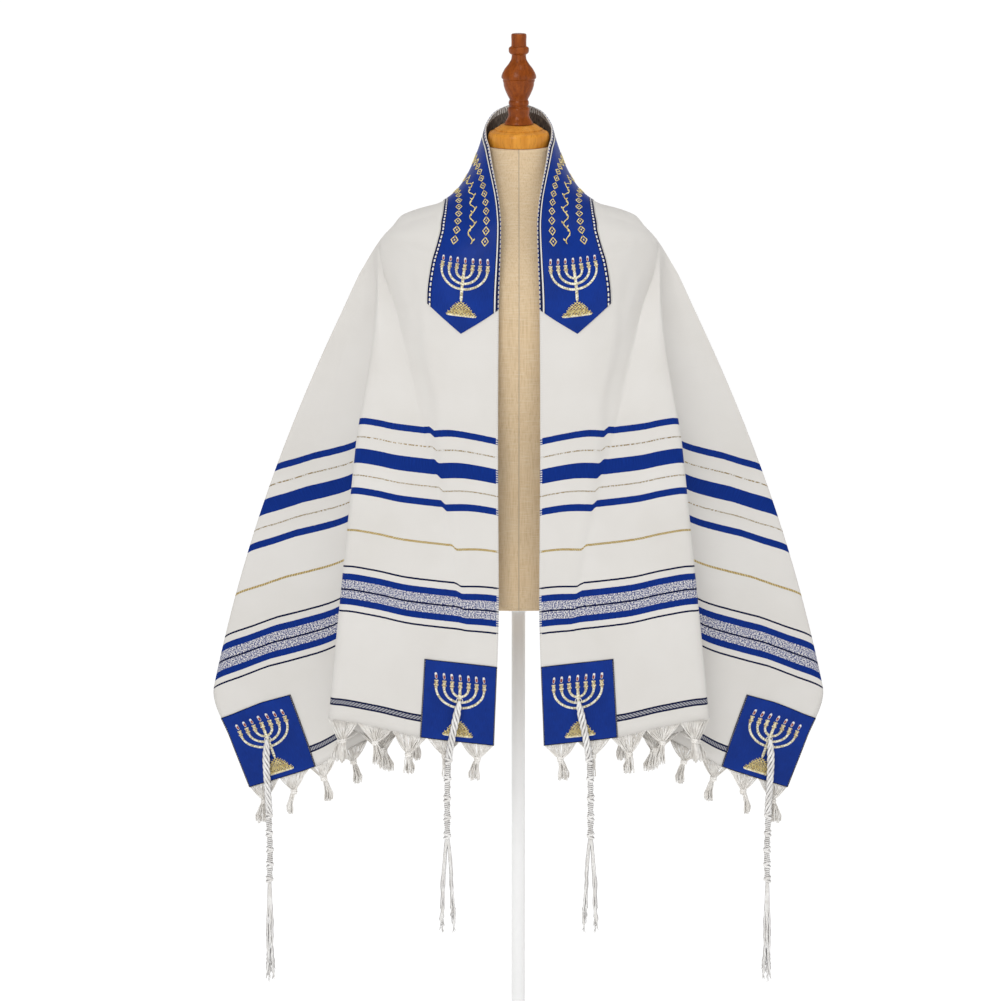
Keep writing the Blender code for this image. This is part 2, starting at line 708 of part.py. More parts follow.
def loft_tube(centres, radii, sides, flat_turn=0.0):
    """Level rings round a path that runs mostly downwards, capped at both ends."""
    points = []
    faces = []
    for centre, radius in zip(centres, radii):
        for side in range(sides):
            angle = 2 * math.pi * side / sides + flat_turn
            points.append(centre + radius * np.array([math.cos(angle), math.sin(angle), 0.0]))
    for ring in range(len(centres) - 1):
        for side in range(sides):
            after = (side + 1) % sides
            a, b = ring * sides, (ring + 1) * sides
            faces.append((a + side, b + side, b + after, a + after))
    faces.append(tuple(range(sides)))
    faces.append(tuple(reversed(range((len(centres) - 1) * sides, len(centres) * sides))))
    return points, faces


def make_tzitzit(name, side, hole_v, sag, cord, strand_length, collection, cutters):
    """A wound cord from the patch's middle, and eight strands below its last knot."""
    sign = -1.0 if side == "left" else 1.0
    here, face, _ = cloth_frame(np.array([HOLE_U]), np.array([hole_v]))
    stand_off = CLOTH_WALL / 2 + SEAM_GAP + TRIM_WALL + SEAM_GAP - sag
    beside = np.linspace(hole_v - PATCH_WIDTH / 2, hole_v + PATCH_WIDTH / 2, 9)
    fringe_line = drape(np.zeros_like(beside), beside)
    centres = []
    radii = []
    for drop, sideways, radius in cord:
        level_share = math.hypot(face[0][0], face[0][1])
        spot = here[0] + face[0] * (stand_off + radius * 0.95 * level_share)
        spot = spot + np.array([sideways, 0.0, -drop])
        if drop > 0:
            fringe_back = np.interp(spot[0], fringe_line[:, 0], fringe_line[:, 1])
            spot[1] = min(spot[1], fringe_back - FRINGE_CLEARANCE - radius)
        centres.append(spot * np.array([sign, 1.0, 1.0]))
        radii.append(radius)
    points, faces = loft_tube(centres, radii, CORD_SIDES)
    mesh = mesh_from(name, points, faces)
    face_outwards(mesh)
    head = add_object(name, mesh, collection, "white thread")

    strand_points = []
    strand_faces = []
    root = centres[-2]
    for strand in range(STRANDS):
        row, column = divmod(strand, STRANDS // 2)
        across = (column - 1.5) * 0.0022
        depth = (row - 0.5) * 0.0024
        spread = 1.0 + 2.2 * (1 if column > 1 else 1.2)
        length = strand_length - 0.004 * ((strand * 5) % 4)
        path = []
        for share in (0.0, 0.35, 1.0):
            widen = 1 + (spread - 1) * share
            offset = np.array([across * widen, depth * (1 + share), -length * share - 0.001])
            path.append(root + offset)
        ring_points, ring_faces = loft_tube(path, [STRAND_WIDTH] * 3, 4, math.pi / 4)
        start = len(strand_points)
        strand_points += ring_points
        strand_faces += [tuple(i + start for i in f) for f in ring_faces]
    strand_mesh = mesh_from(f"{name}_strands", strand_points, strand_faces)
    face_outwards(strand_mesh)
    strands = add_object(f"{name}_strands", strand_mesh, cutters, "white thread")
    strands.hide_render = True
    strands.display_type = "WIRE"
    join = head.modifiers.new("strands", "BOOLEAN")
    join.operation = "UNION"
    join.solver = "EXACT"
    join.object = strands


def make_torso(collection):
    points = []
    faces = []
    for height, width, depth in TORSO_RINGS:
        for side in range(TORSO_SIDES):
            angle = 2 * math.pi * side / TORSO_SIDES
            cosine, sine = math.cos(angle), math.sin(angle)
            out = width * math.copysign(abs(cosine) ** (2 / TORSO_POWER), cosine)
            back = depth * math.copysign(abs(sine) ** (2 / TORSO_POWER), sine)
            lean = float(neck_lean(back, height))
            points.append((out, back, height + lean))
    for ring in range(len(TORSO_RINGS) - 1):
        for side in range(TORSO_SIDES):
            after = (side + 1) % TORSO_SIDES
            a, b = ring * TORSO_SIDES, (ring + 1) * TORSO_SIDES
            faces.append((a + side, a + after, b + after, b + side))
    faces.append(tuple(reversed(range(TORSO_SIDES))))
    top = (len(TORSO_RINGS) - 1) * TORSO_SIDES
    faces.append(tuple(range(top, top + TORSO_SIDES)))
    mesh = mesh_from("torso_form", points, faces)
    return add_object("torso_form", mesh, collection, "beige linen")


def make_turned(name, profile, place, tilt, sides, collection, finish_name):
    """A profile turned round the upright axis, then leaned forward about its foot."""
    points = [(radius, 0.0, height) for radius, height in profile]
    mesh = mesh_from(name, points, [])
    shape = bmesh.new()
    shape.from_mesh(mesh)
    verts = list(shape.verts)
    for start, end in zip(verts[:-1], verts[1:]):
        shape.edges.new((start, end))
    shape.to_mesh(mesh)
    shape.free()
    item = add_object(name, mesh, collection, finish_name)
    item.matrix_world = Matrix.Translation(Vector(place)) @ Matrix.Rotation(tilt, 4, "X")
    turn = item.modifiers.new("turned", "SCREW")
    turn.axis = "Z"
    turn.angle = 2 * math.pi
    turn.steps = sides
    turn.render_steps = sides
    turn.use_merge_vertices = True
    turn.merge_threshold = 0.00001
    turn.use_smooth_shade = True
    return item


def make_stand(collection):
    base_profile = [
        (0.0, BASE_HEIGHT),
        (BASE_RADIUS - BASE_BEVEL, BASE_HEIGHT),
        (BASE_RADIUS, BASE_HEIGHT - BASE_BEVEL),
        (BASE_RADIUS, 0.0),
        (0.0, 0.0),
    ]
    white = "white painted steel"
    make_turned("base", base_profile, (0, 0, 0), 0.0, 40, collection, white)
    torso_foot = TORSO_RINGS[0][0]
    socket_foot = torso_foot - SEAM_GAP - SOCKET_HEIGHT
    socket_profile = [
        (0.0, SOCKET_HEIGHT),
        (SOCKET_RADIUS, SOCKET_HEIGHT),
        (SOCKET_RADIUS, SOCKET_HEIGHT * 0.6),
        (SOCKET_RADIUS * 0.55, 0.0),
        (0.0, 0.0),
    ]
    make_turned("pole_socket", socket_profile, (0, 0, socket_foot), 0.0, 20, collection, white)
    pole_foot = BASE_HEIGHT + SEAM_GAP
    pole_top = socket_foot - SEAM_GAP
    bpy.ops.mesh.primitive_cylinder_add(
        vertices=16,
        radius=POLE_RADIUS,
        depth=pole_top - pole_foot,
        location=(0, 0, (pole_top + pole_foot) / 2),
    )
    pole = bpy.context.object
    pole.name = "pole"
    pole.data.name = "pole"
    pole.data.materials.append(finish(white))
    for other in list(pole.users_collection):
        other.objects.unlink(pole)
    collection.objects.link(pole)


def make_neck(collection):
    foot = (0.0, 0.0, NECK_TOP)
    make_turned("neck_cap", CAP_PROFILE, foot, NECK_TILT, 24, collection, "golden wood")
    make_turned("finial", FINIAL_PROFILE, foot, NECK_TILT, 18, collection, "red brown wood")


def main():
    clear_scene()
    collection = new_collection("tallit prayer shawl on a dress form")
    cutters = new_collection("cutters")
    make_cloth(collection)
    for side in ("left", "right"):
        make_fringe(side, collection)
        front_v = HOLE_V
        outer_v = CLOTH_WIDTH - HOLE_V
        make_tzitzit(
            f"tzitzit_front_{side}", side, front_v, 0.0, FRONT_CORD, FRONT_STRAND_LENGTH,
            collection, cutters,
        )
        make_tzitzit(
            f"tzitzit_outer_{side}", side, outer_v, OUTER_FACE_SAG, OUTER_CORD,
            OUTER_STRAND_LENGTH, collection, cutters,
        )
    make_torso(collection)
    make_neck(collection)
    make_stand(collection)


main()
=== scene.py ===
import functools
import math

import bpy
import numpy as np
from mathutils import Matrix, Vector


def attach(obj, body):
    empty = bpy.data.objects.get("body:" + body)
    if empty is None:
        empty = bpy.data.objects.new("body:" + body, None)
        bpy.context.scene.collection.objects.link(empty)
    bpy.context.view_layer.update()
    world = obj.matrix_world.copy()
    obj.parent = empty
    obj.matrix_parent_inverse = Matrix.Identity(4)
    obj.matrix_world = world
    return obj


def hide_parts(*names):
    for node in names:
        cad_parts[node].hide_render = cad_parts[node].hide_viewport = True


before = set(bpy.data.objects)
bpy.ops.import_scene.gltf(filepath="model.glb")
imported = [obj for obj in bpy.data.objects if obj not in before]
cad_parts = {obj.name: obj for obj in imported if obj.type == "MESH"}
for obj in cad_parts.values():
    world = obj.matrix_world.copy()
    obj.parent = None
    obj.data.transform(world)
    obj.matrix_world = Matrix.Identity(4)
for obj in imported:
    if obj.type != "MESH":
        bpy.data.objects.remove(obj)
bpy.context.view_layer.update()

print("stage: frame loaded")

# Everything is in metres with the front facing -Y. The cloth is described flat first:
# u runs from a fringed end, 0 to the middle of the back, and v from the neck edge outwards.
clothSpec = {
    "length": 1.830,
    "width": 0.559,
    "thickness": 0.0012,
    "shoulderU": 0.638,      # where the shoulder carries it, flat on the cloth
    "shoulderV": 0.185,
    "shoulder": (0.181, 0.000, 1.296),      # and in space: out, back, up
    "capFit": (0.032, 0.072),       # the shoulder's round cap: radii it is fitted to
    "capEnds": (0.022, 0.062),      # and over which it gives way to the folds
    "capLift": 0.0055, "capSpread": 0.055, "capUp": (0.66, 0.0, 0.75),
    "depthOpens": 0.10,      # share of the way to the edge by which a fold has its depth
    "foldStarts": 0.10,
    "foldOpens": 0.45,
    "lag": 0.2475,           # how much later a steep line starts to fall
    "restMargin": 0.0052,
    "restSoft": 0.022,
    "restFades": (0.04, 0.03),      # below the form's hem and above its neck
    "skewWidth": 0.200,
    "edgeStep": 0.0072,      # mesh spacing along the edges, and at the folds
    "foldStep": 0.0036, "foldNear": 0.018,
    "rings": 46, "ringPower": 0.9,
}
halfLength = clothSpec["length"] / 2
clothWidth = clothSpec["width"]
shoulderU, shoulderV = clothSpec["shoulderU"], clothSpec["shoulderV"]


def fromMillimetres(rows, plain=()):
    # a table written in millimetres, apart from its plain columns
    table = np.array(rows, float)
    scale = np.full(table.shape[1], 1000.0)
    scale[list(plain)] = 1.0
    return table / scale


# The cloth's edges: along the edge, out, back, up, hang, dip, belly, 1 for a fold line
edges = {
    "bottom": [
        (0, 32, -128, 642, 4.0, 0, 0, 0),
        (95, 128, -127, 653, 4.0, 0, 0, 0),
        (150, 186, -124, 666, 4.0, 0, 0, 0),
        (205, 237, -118, 674, 4.0, 0, 0, 1),
        (218, 244, -111, 674, 4.0, 0, 0, 1),
        (230, 238, -104, 672, 4.0, 0, 0, 1),
        (268, 195, -100, 651, 4.0, 0, 0, 1),
        (308, 140, -96, 664, 4.0, 0, 0, 1),
        (318, 133, -89, 666, 4.0, 0, 0, 1),
        (328, 140, -82, 662, 3.8, 0, 0, 1),
        (368, 180, -80, 648, 3.4, 0, 0, 1),
        (415, 223, -76, 629, 3.0, 0, 0, 0),
        (464, 266, -62, 603, 2.5, 0, 4, 0),
        (511, 311, -46, 585, 2.0, 0, 10, 0),
        (559, 357, -28, 568, 1.5, 0, 18, 0),
    ],
    "outer": [
        (0, 357, -28, 568, 1.5, 0, 18, 0),
        (70, 383, -13, 630, 1.2, 0, 21, 0),
        (140, 407, 4, 693, 1.0, 0, 25, 0),
        (165, 398, 12, 716, 1.0, 0, 23, 0),
        (230, 336, 25, 753, 1.0, 0, 14, 1),
        (305, 275, 31, 800, 1.0, 0, 6, 1),
        (360, 297, 54, 847, 1.1, 0, 10, 1),
        (417, 311, 78, 888, 1.2, 0, 14, 0),
        (465, 262, 73, 900, 1.3, 0, 8, 1),
        (512, 216, 72, 912, 1.5, 0, 0, 1),
        (552, 236, 106, 932, 1.7, 0, 6, 1),
        (592, 248, 136, 949, 1.8, 0, 10, 0),
        (640, 209, 118, 940, 2.2, 0, 4, 1),
        (690, 168, 107, 932, 2.6, 0, 0, 0),
        (750, 128, 137, 928, 3.0, 0, 0, 1),
        (805, 88, 111, 925, 3.0, 0, 0, 0),
        (860, 46, 137, 923, 3.0, 0, 0, 1),
        (915, 0, 114, 922, 3.0, 0, 0, 0),
    ],
    "back": [
        (0, 0, 55, 1471, 1.5, 60, 0, 0),
        (95, 0, 74, 1380, 1.8, 12, 0, 0),
        (150, 0, 94, 1330, 2.0, 0, 0, 0),
        (250, 0, 113, 1231, 2.5, 0, 0, 0),
        (400, 0, 117, 1081, 3.0, 0, 0, 0),
        (559, 0, 114, 922, 3.0, 0, 0, 0),
    ],
    "neck": [
        (0, 32, -128, 642, 4.0, 0, 0, 0),
        (185, 26, -128, 832, 4.0, 0, 0, 0),
        (376, 27, -126, 1026, 3.5, 0, 0, 0),
        (553, 26, -119, 1203, 3.0, 0, 0, 0),
        (664, 23, -100, 1310, 2.0, 3, 0, 0),
        (694, 25, -87, 1337, 1.8, 6, 0, 0),
        (762, 35, -51, 1391, 1.5, 18, 0, 0),
        (816, 41, -10, 1428, 1.3, 36, 0, 0),
        (835, 43, 8, 1438, 1.2, 44, 0, 0),
        (854, 40, 25, 1446, 1.3, 50, 0, 0),
        (875, 31, 40, 1458, 1.4, 55, 0, 0),
        (895, 17, 50, 1466, 1.5, 58, 0, 0),
        (915, 0, 55, 1471, 1.5, 60, 0, 0),
    ],
}
edges = {name: fromMillimetres(rows, (4, 7)) for name, rows in edges.items()}
# How the neckband pulls the cloth askew: along, extra across, extra along
neckSkew = fromMillimetres([
    (420, 0, 0), (520, 14, -11), (560, 14, -14), (610, 7, -5), (660, -5, 0),
    (750, -21, 0), (800, -16, 0), (860, -8, 0), (915, 0, 0),
])
# The long soft tuck down the front panel
frontTuck = {
    "line": fromMillimetres([      # along the cloth, and where it lies across it
        (150, 45), (246, 60), (296, 77), (386, 97), (490, 104), (550, 108), (600, 122), (640, 150)]),
    "pull": 0.0050,          # how far it draws the stripes down on its inner side
    "pullRows": (0.105, 0.250, 0.440, 0.560), "pullPower": 1.3, "pullEnds": 0.009,
    "height": 0.0016, "halfWidth": 0.012, "heightRows": (0.10, 0.22, 0.52, 0.62),
}
# Faint waves that fan out from the shoulder and stop short of the middle of the back
fanSpec = {
    "waves": [(7, 0.0014, 0.4), (12, 0.0012, 1.9), (19, 0.0008, 0.9)],      # how many, height, shift
    "reach": 0.55, "power": 1.4, "quiet": 0.05,
}

torsoRings = fromMillimetres([      # height, half width, half depth
    (813, 140, 98), (850, 141, 101), (930, 137, 98), (1010, 143, 100), (1100, 158, 108),
    (1170, 169, 112), (1225, 176, 109), (1262, 179, 100), (1285, 175, 90), (1300, 164, 83),
    (1310, 150, 78), (1318, 133, 74), (1327, 112, 69), (1339, 91, 63), (1350, 72, 58),
    (1368, 59, 52), (1390, 49, 46), (1414, 40.5, 40.5),
])
formSpec = {"power": 2.2, "sides": 128, "rows": 150, "tilt": math.radians(8), "tiltStarts": 1.350,
            "hem": fromMillimetres([(0, -30), (0, -6), (1.74, -1.74), (6, 0)])}      # up, out
neckTop = torsoRings[-1, 0]


def ease(value, low, high):
    # 0 up to low, 1 from high on, and between them 3t^2 - 2t^3
    t = np.clip((value - low) / (high - low), 0.0, 1.0)
    return t * t * (3 - 2 * t)


def plateau(value, rows):
    # rises between the first two of the rows and falls between the last two
    return ease(value, rows[0], rows[1]) * (1 - ease(value, rows[2], rows[3]))


def steadyCurve(table, at):
    # a cubic through the table's rows, placed by their first value, that never overshoots
    # them: the slope at a row is the harmonic mean of the slopes before and after it
    stops, values = table[:, 0], table[:, 1:]
    step = np.diff(stops)[:, None]
    rise = np.diff(values, axis=0) / step
    slope = np.zeros_like(values)
    slope[0], slope[-1] = rise[0], rise[-1]
    before, after = rise[:-1], rise[1:]
    same = before * after > 0
    slope[1:-1] = np.where(same, 2 * before * after / np.where(same, before + after, 1.0), 0.0)
    index = np.clip(np.searchsorted(stops, at, side="right") - 1, 0, len(stops) - 2)
    width = step[index]
    t = (at - stops[index])[:, None] / width
    near = values[index] * (2 * t**3 - 3 * t**2 + 1) + slope[index] * width * (t**3 - 2 * t**2 + t)
    far = values[index + 1] * (3 * t**2 - 2 * t**3) + slope[index + 1] * width * (t**3 - t**2)
    return near + far


def follow(at, stops, table):
    # straight lines between the rows of a table
    return np.column_stack([np.interp(at, stops, column) for column in table.T])


def unit(vectors):
    return vectors / np.maximum(np.linalg.norm(vectors, axis=-1, keepdims=True), 1e-9)


def circle(count):
    return np.linspace(0, 2 * np.pi, count, endpoint=False)


def flatLine(along, across):
    # flat points; either of the two may be a single number
    return np.column_stack(np.broadcast_arrays(along, across))


def edgeValues(table, at, keepFolds):
    rows = table if keepFolds else table[table[:, 7] == 0]
    return steadyCurve(rows[:, :7], at)


def neckLean(back, height):
    # the neck leans forward: its rings are lower in front and higher behind
    return back * math.tan(formSpec["tilt"]) * ease(height, formSpec["tiltStarts"], neckTop)


restLevels = np.linspace(torsoRings[0, 0], neckTop, 400)
restSizes = steadyCurve(torsoRings, restLevels) + clothSpec["restMargin"]


def restOnForm(points):
    # cloth that would enter the form moves straight out of it at the same height: its reach r
    # (1 on the form) becomes the soft maximum of r and 1, (r + 1 + sqrt((r - 1)^2 + s^2)) / 2
    out, back, up = points.T
    level = up - neckLean(back, up)
    width, depth = follow(level, restLevels, restSizes).T
    power = formSpec["power"]
    inside = (np.abs(out) / width) ** power + (np.abs(back) / depth) ** power
    reach = np.maximum(inside, 1e-6) ** (1 / power)
    wanted = (reach + 1 + np.sqrt((reach - 1) ** 2 + clothSpec["restSoft"] ** 2)) / 2
    below, above = clothSpec["restFades"]
    low, high = restLevels[[0, -1]]
    push = 1 + plateau(level, (low - below, low, high, high + above)) * (wanted / reach - 1)
    return np.column_stack([out * push, back * push, up])


def hangingCone(u, v):
    # Every point lies on a line from the shoulder point to the cloth's edge. The edge is a
    # smooth curve through its table; along the line the cloth first drops over the body
    # (hang), dips towards the shoulder (dip) or swells outwards (belly)
    shift = steadyCurve(neckSkew, np.clip(u, neckSkew[0, 0], neckSkew[-1, 0]))
    shift = shift * np.sin(np.pi * np.clip(v / clothSpec["skewWidth"], 0, 1))[:, None]
    tiny = 1e-9
    along = u + shift[:, 1] - shoulderU
    along = np.where(np.abs(along) < tiny, tiny, along)
    across = v + shift[:, 0] - shoulderV
    across = np.where(np.abs(across) < tiny, tiny, across)
    toEnd = np.where(along < 0, -shoulderU, halfLength - shoulderU) / along
    toSide = np.where(across > 0, clothWidth - shoulderV, -shoulderV) / across
    stretch = np.minimum(toEnd, toSide)
    share = np.minimum(1 / stretch, 1.0)
    edgeU = np.clip(shoulderU + along * stretch, 0, halfLength)
    edgeV = np.clip(shoulderV + across * stretch, 0, clothWidth)
    atEnd = toEnd <= toSide
    choices = {
        "bottom": (atEnd & (along < 0), edgeV), "back": (atEnd & (along > 0), edgeV),
        "outer": (~atEnd & (across > 0), edgeU), "neck": (~atEnd & (across < 0), edgeU),
    }
    folded, smooth = np.zeros((2, len(u), 6))
    for name, (chosen, position) in choices.items():
        if chosen.any():
            folded[chosen] = edgeValues(edges[name], position[chosen], True)
            smooth[chosen] = edgeValues(edges[name], position[chosen], False)
    fold = ease(share, clothSpec["foldStarts"], clothSpec["foldOpens"])[:, None]
    edge = smooth + fold * (folded - smooth)
    edgeBack = smooth[:, 1] + ease(share, 0, clothSpec["depthOpens"]) * (folded[:, 1] - smooth[:, 1])
    hang, dip, belly = edge[:, 3:].T
    out, back, up = clothSpec["shoulder"]
    run = edgeBack - back
    reach = np.hypot(edgeU - shoulderU, edgeV - shoulderV)
    lag = clothSpec["lag"] * (hang - 1) ** 1.2 * (run / reach) ** 2
    fall = (share - lag * (1 - (1 - share) ** (hang + 1))) / (1 - lag)
    hollow = 8.11 * share**2.5 * (1 - share)      # the factor makes its deepest place 1
    return np.column_stack([
        out + (edge[:, 0] - out) * share + belly * 4 * share * (1 - share),
        back + run * (1 - (1 - share) ** hang),
        up + (edge[:, 2] - up) * fall - dip * hollow,
    ])


def capTerms(u, v):
    # the powers of both distances from the shoulder, up to the fourth together
    a, b = (u - shoulderU) / clothSpec["capFit"][1], (v - shoulderV) / clothSpec["capFit"][1]
    return np.column_stack([a**i * b**j for i in range(5) for j in range(5 - i)])


def capFitted():
    # the round cap is the polynomial surface nearest to the cone on rings round the shoulder
    radius, angle = np.meshgrid(np.linspace(*clothSpec["capFit"], 7), np.arange(48) * np.pi / 24)
    u = shoulderU + (radius * np.cos(angle)).ravel()
    v = shoulderV + (radius * np.sin(angle)).ravel()
    return np.linalg.lstsq(capTerms(u, v), hangingCone(u, v), rcond=None)[0]


shoulderCap = capFitted()


def drape(u, v):
    # the cone, with its point replaced by the round cap, resting on the form
    distance = np.hypot(u - shoulderU, v - shoulderV)
    points = hangingCone(u, v)
    near = np.flatnonzero(distance < clothSpec["capEnds"][1])
    if len(near):
        cone = ease(distance[near], *clothSpec["capEnds"])[:, None]
        points[near] = points[near] * cone + capTerms(u[near], v[near]) @ shoulderCap * (1 - cone)
    lift = clothSpec["capLift"] * np.exp(-((distance / clothSpec["capSpread"]) ** 2))
    return restOnForm(points + lift[:, None] * np.array(clothSpec["capUp"]))


def tuckPlace(u):
    return np.interp(u, *frontTuck["line"].T)


def tucked(u, v):
    # the tuck draws the weave down on its inner side and lets it back within a few millimetres
    place = tuckPlace(u)
    ramp = np.clip(v / place, 0, 1) ** frontTuck["pullPower"]
    after = 1 - ease(v, place, place + frontTuck["pullEnds"])
    pull = frontTuck["pull"] * plateau(u, frontTuck["pullRows"]) * ramp * after
    return np.clip(u - pull, 0, halfLength)


def outerNormal(surface, u, v, step):
    # cross product of the two directions in the cloth, turned to the outer face
    lowU, highU = np.maximum(u - step, 0), np.minimum(u + step, halfLength)
    lowV, highV = np.maximum(v - step, 0), np.minimum(v + step, clothWidth)
    return unit(np.cross(surface(lowU, v) - surface(highU, v), surface(u, highV) - surface(u, lowV)))


def clothPoint(u, v, lift=0.0):
    # the drape plus the tuck's soft step, o exp(1/2 - o^2) of its offset o in half widths, and
    # the faint waves, lifted along the outer face
    weaveU = tucked(u, v)
    offset = (v - tuckPlace(u)) / frontTuck["halfWidth"]
    relief = -frontTuck["height"] * plateau(u, frontTuck["heightRows"]) * offset * np.exp(0.5 - offset**2)
    along, across = u - shoulderU, v - shoulderV
    angle = np.arctan2(across, -along)
    distance = np.clip(np.hypot(along, across) / fanSpec["reach"], 0, 1) ** fanSpec["power"]
    for count, height, shift in fanSpec["waves"]:
        relief = relief + height * distance * np.sin(count * angle + shift)
    relief = relief * ease(halfLength - u, 0, fanSpec["quiet"]) + lift
    return drape(weaveU, v) + outerNormal(drape, weaveU, v, 0.0008) * relief[:, None]


def clothNormal(u, v):
    return outerNormal(clothPoint, u, v, 0.0015)


def onSide(points, side):
    return points * np.array([-1.0 if side == "left" else 1.0, 1.0, 1.0])


def addPiece(name, points, faces, uv, material, slots=None):
    # slots gives each face its place in a list of materials
    mesh = bpy.data.meshes.new(name)
    mesh.from_pydata(np.asarray(points).tolist(), [], [list(f) for f in faces])
    if uv is not None:
        layer = mesh.uv_layers.new(name="flat")
        corners = np.zeros(len(mesh.loops), np.int64)
        mesh.loops.foreach_get("vertex_index", corners)
        layer.data.foreach_set("uv", uv[corners].astype(np.float32).ravel())
    mesh.polygons.foreach_set("use_smooth", np.full(len(mesh.polygons), True))
    if slots is not None:
        mesh.polygons.foreach_set("material_index", np.array(slots, np.int32))
    mesh.update()
    piece = bpy.data.objects.new(name, mesh)
    bpy.context.scene.collection.objects.link(piece)
    for item in material if isinstance(material, list) else [material]:
        mesh.materials.append(item)
    return piece


def closedPiece(*settings):
    # a piece whose doubles are merged and whose normals are turned outwards
    piece = addPiece(*settings)
    bpy.ops.object.select_all(action="DESELECT")
    piece.select_set(True)
    bpy.context.view_layer.objects.active = piece
    bpy.ops.object.mode_set(mode="EDIT")
    bpy.ops.mesh.select_all(action="SELECT")
    bpy.ops.mesh.remove_doubles(threshold=0.00001)
    bpy.ops.mesh.normals_make_consistent(inside=False)
    bpy.ops.object.mode_set(mode="OBJECT")
    return piece


def gridFaces(rows, columns, closed=False, start=0):
    # quads of a grid laid row by row; closed joins the last column to the first
    r = np.arange(rows - 1)[:, None] * columns
    c = np.arange(columns if closed else columns - 1)[None, :]
    n = (c + 1) % columns
    return np.stack([r + c, r + n, r + columns + n, r + columns + c], -1).reshape(-1, 4) + start


def tubeFaces(rings, sides, start=0):
    # the wall of a tube laid ring by ring, and its two ends
    last = start + (rings - 1) * sides
    ends = [list(range(start, start + sides)), list(range(last, last + sides))[::-1]]
    return gridFaces(rings, sides, True, start).tolist() + ends


def plateFaces(rows, columns):
    # both faces of a thin plate, the lower one's points after the upper one's, and its rim
    size = rows * columns
    rim = np.concatenate([
        np.arange(columns), np.arange(1, rows) * columns + columns - 1,
        (rows - 1) * columns + np.arange(columns - 2, -1, -1), np.arange(rows - 2, 0, -1) * columns,
    ])
    after = np.roll(rim, -1)
    quads = gridFaces(rows, columns)
    return np.vstack([quads, quads[:, ::-1] + size, np.column_stack([rim, rim + size, after + size, after])])


# Materials. A socket knows its node tree, so the helpers below need only sockets and numbers

def fill(made, values):
    for key, value in values.items():
        if isinstance(value, bpy.types.NodeSocket):
            made.id_data.links.new(value, made.inputs[key])
        else:
            made.inputs[key].default_value = value
    return made


def node(tree, kind, values, **settings):
    made = tree.nodes.new(kind)
    for key, value in settings.items():
        setattr(made, key, value)
    return fill(made, values)


def calc(operation, *values):
    tree = next(value.id_data for value in values if isinstance(value, bpy.types.NodeSocket))
    return node(tree, "ShaderNodeMath", dict(enumerate(values)), operation=operation).outputs[0]


def times(*values):
    return functools.reduce(functools.partial(calc, "MULTIPLY"), values)


def plus(*values):
    return functools.reduce(functools.partial(calc, "ADD"), values)


def either(*masks):
    return functools.reduce(functools.partial(calc, "MAXIMUM"), masks)


def wave(*values):
    return calc("SINE", plus(*values) if len(values) > 1 else values[0])


def band(value, low, high):
    # 1 between two places in millimetres
    return calc("COMPARE", value, (low + high) / 2000, (high - low) / 2000)


def mix(factor, first, second):
    first, second = ((*tone, 1.0) if isinstance(tone, tuple) else tone for tone in (first, second))
    values = {0: factor, 6: first, 7: second}
    return node(factor.id_data, "ShaderNodeMix", values, data_type="RGBA").outputs[2]


def noise(vector, scale, detail=2.0, rough=0.55):
    # three scales stretch the noise along the axes
    if isinstance(scale, tuple):
        vector = node(vector.id_data, "ShaderNodeMapping", {"Vector": vector, "Scale": scale}).outputs[0]
        scale = 1.0
    settings = {"Vector": vector, "Scale": scale, "Detail": detail, "Roughness": rough}
    return node(vector.id_data, "ShaderNodeTexNoise", settings).outputs[0]


def ramp(value, low, high, toLow=0.0, toHigh=1.0):
    settings = {0: value, 1: low, 2: high, 3: toLow, 4: toHigh}
    return node(value.id_data, "ShaderNodeMapRange", settings).outputs[0]


def split(vector):
    return node(vector.id_data, "ShaderNodeSeparateXYZ", {0: vector}).outputs[:]


def newMaterial(name):
    material = bpy.data.materials.new(name)
    material.use_nodes = True
    return material, material.node_tree


def onCloth(tree):
    return node(tree, "ShaderNodeUVMap", {}, uv_map="flat").outputs[0]


def inPiece(tree):
    return node(tree, "ShaderNodeTexCoord", {}).outputs["Object"]


def finish(material, height, depth, values):
    # depth is how far the bump rises where the height is 1
    settings = {"Strength": 1.0, "Distance": depth, "Height": height}
    bump = node(material.node_tree, "ShaderNodeBump", settings)
    fill(material.node_tree.nodes["Principled BSDF"], {**values, "Normal": bump.outputs[0]})
    return material


colours = {
    "white": (0.700, 0.680, 0.650),
    "warmWhite": (0.655, 0.632, 0.596),
    "royal": (0.0040, 0.030, 0.235),
    "royalDark": (0.0028, 0.019, 0.150),
    "navy": (0.0045, 0.0075, 0.040),
    "gold": (0.42, 0.28, 0.085),
    "goldDull": (0.30, 0.22, 0.100),
    "goldBright": (0.66, 0.55, 0.29),
    "speckle": (0.20, 0.215, 0.34),
    "speckleDark": (0.030, 0.040, 0.13),
    "linen": (0.66, 0.50, 0.315),
    "linenDark": (0.52, 0.37, 0.21),
}

# Woven bands across the cloth: distance from the end in mm, from and to, and the colour
stripes = [
    (19.6, 21.9, "navy"), (21.9, 26.6, "fret"), (26.6, 28.9, "navy"),
    (140.9, 143.2, "navy"),
    (150.4, 158.6, "royal"), (158.6, 168.9, "speckle"), (168.7, 171.1, "navy"),
    (170.9, 182.0, "speckle"), (182.0, 190.2, "royal"), (198.3, 200.6, "navy"),
    (244.7, 247.4, "cord"),
    (292.3, 300.9, "royal"), (315.7, 317.3, "gold"),
    (332.1, 350.8, "royal"), (365.0, 366.6, "gold"),
    (382.0, 390.3, "royal"),
]
# Of the weave: its pitch, how wide the selvedge is, and on the reverse the dark area behind the neckband and
# its edging
weaveSpec = {"pitch": 0.0011, "selvedge": 0.0032, "bandAcross": 0.0950, "bandAlong": 0.5600,
             "edging": 0.0026}


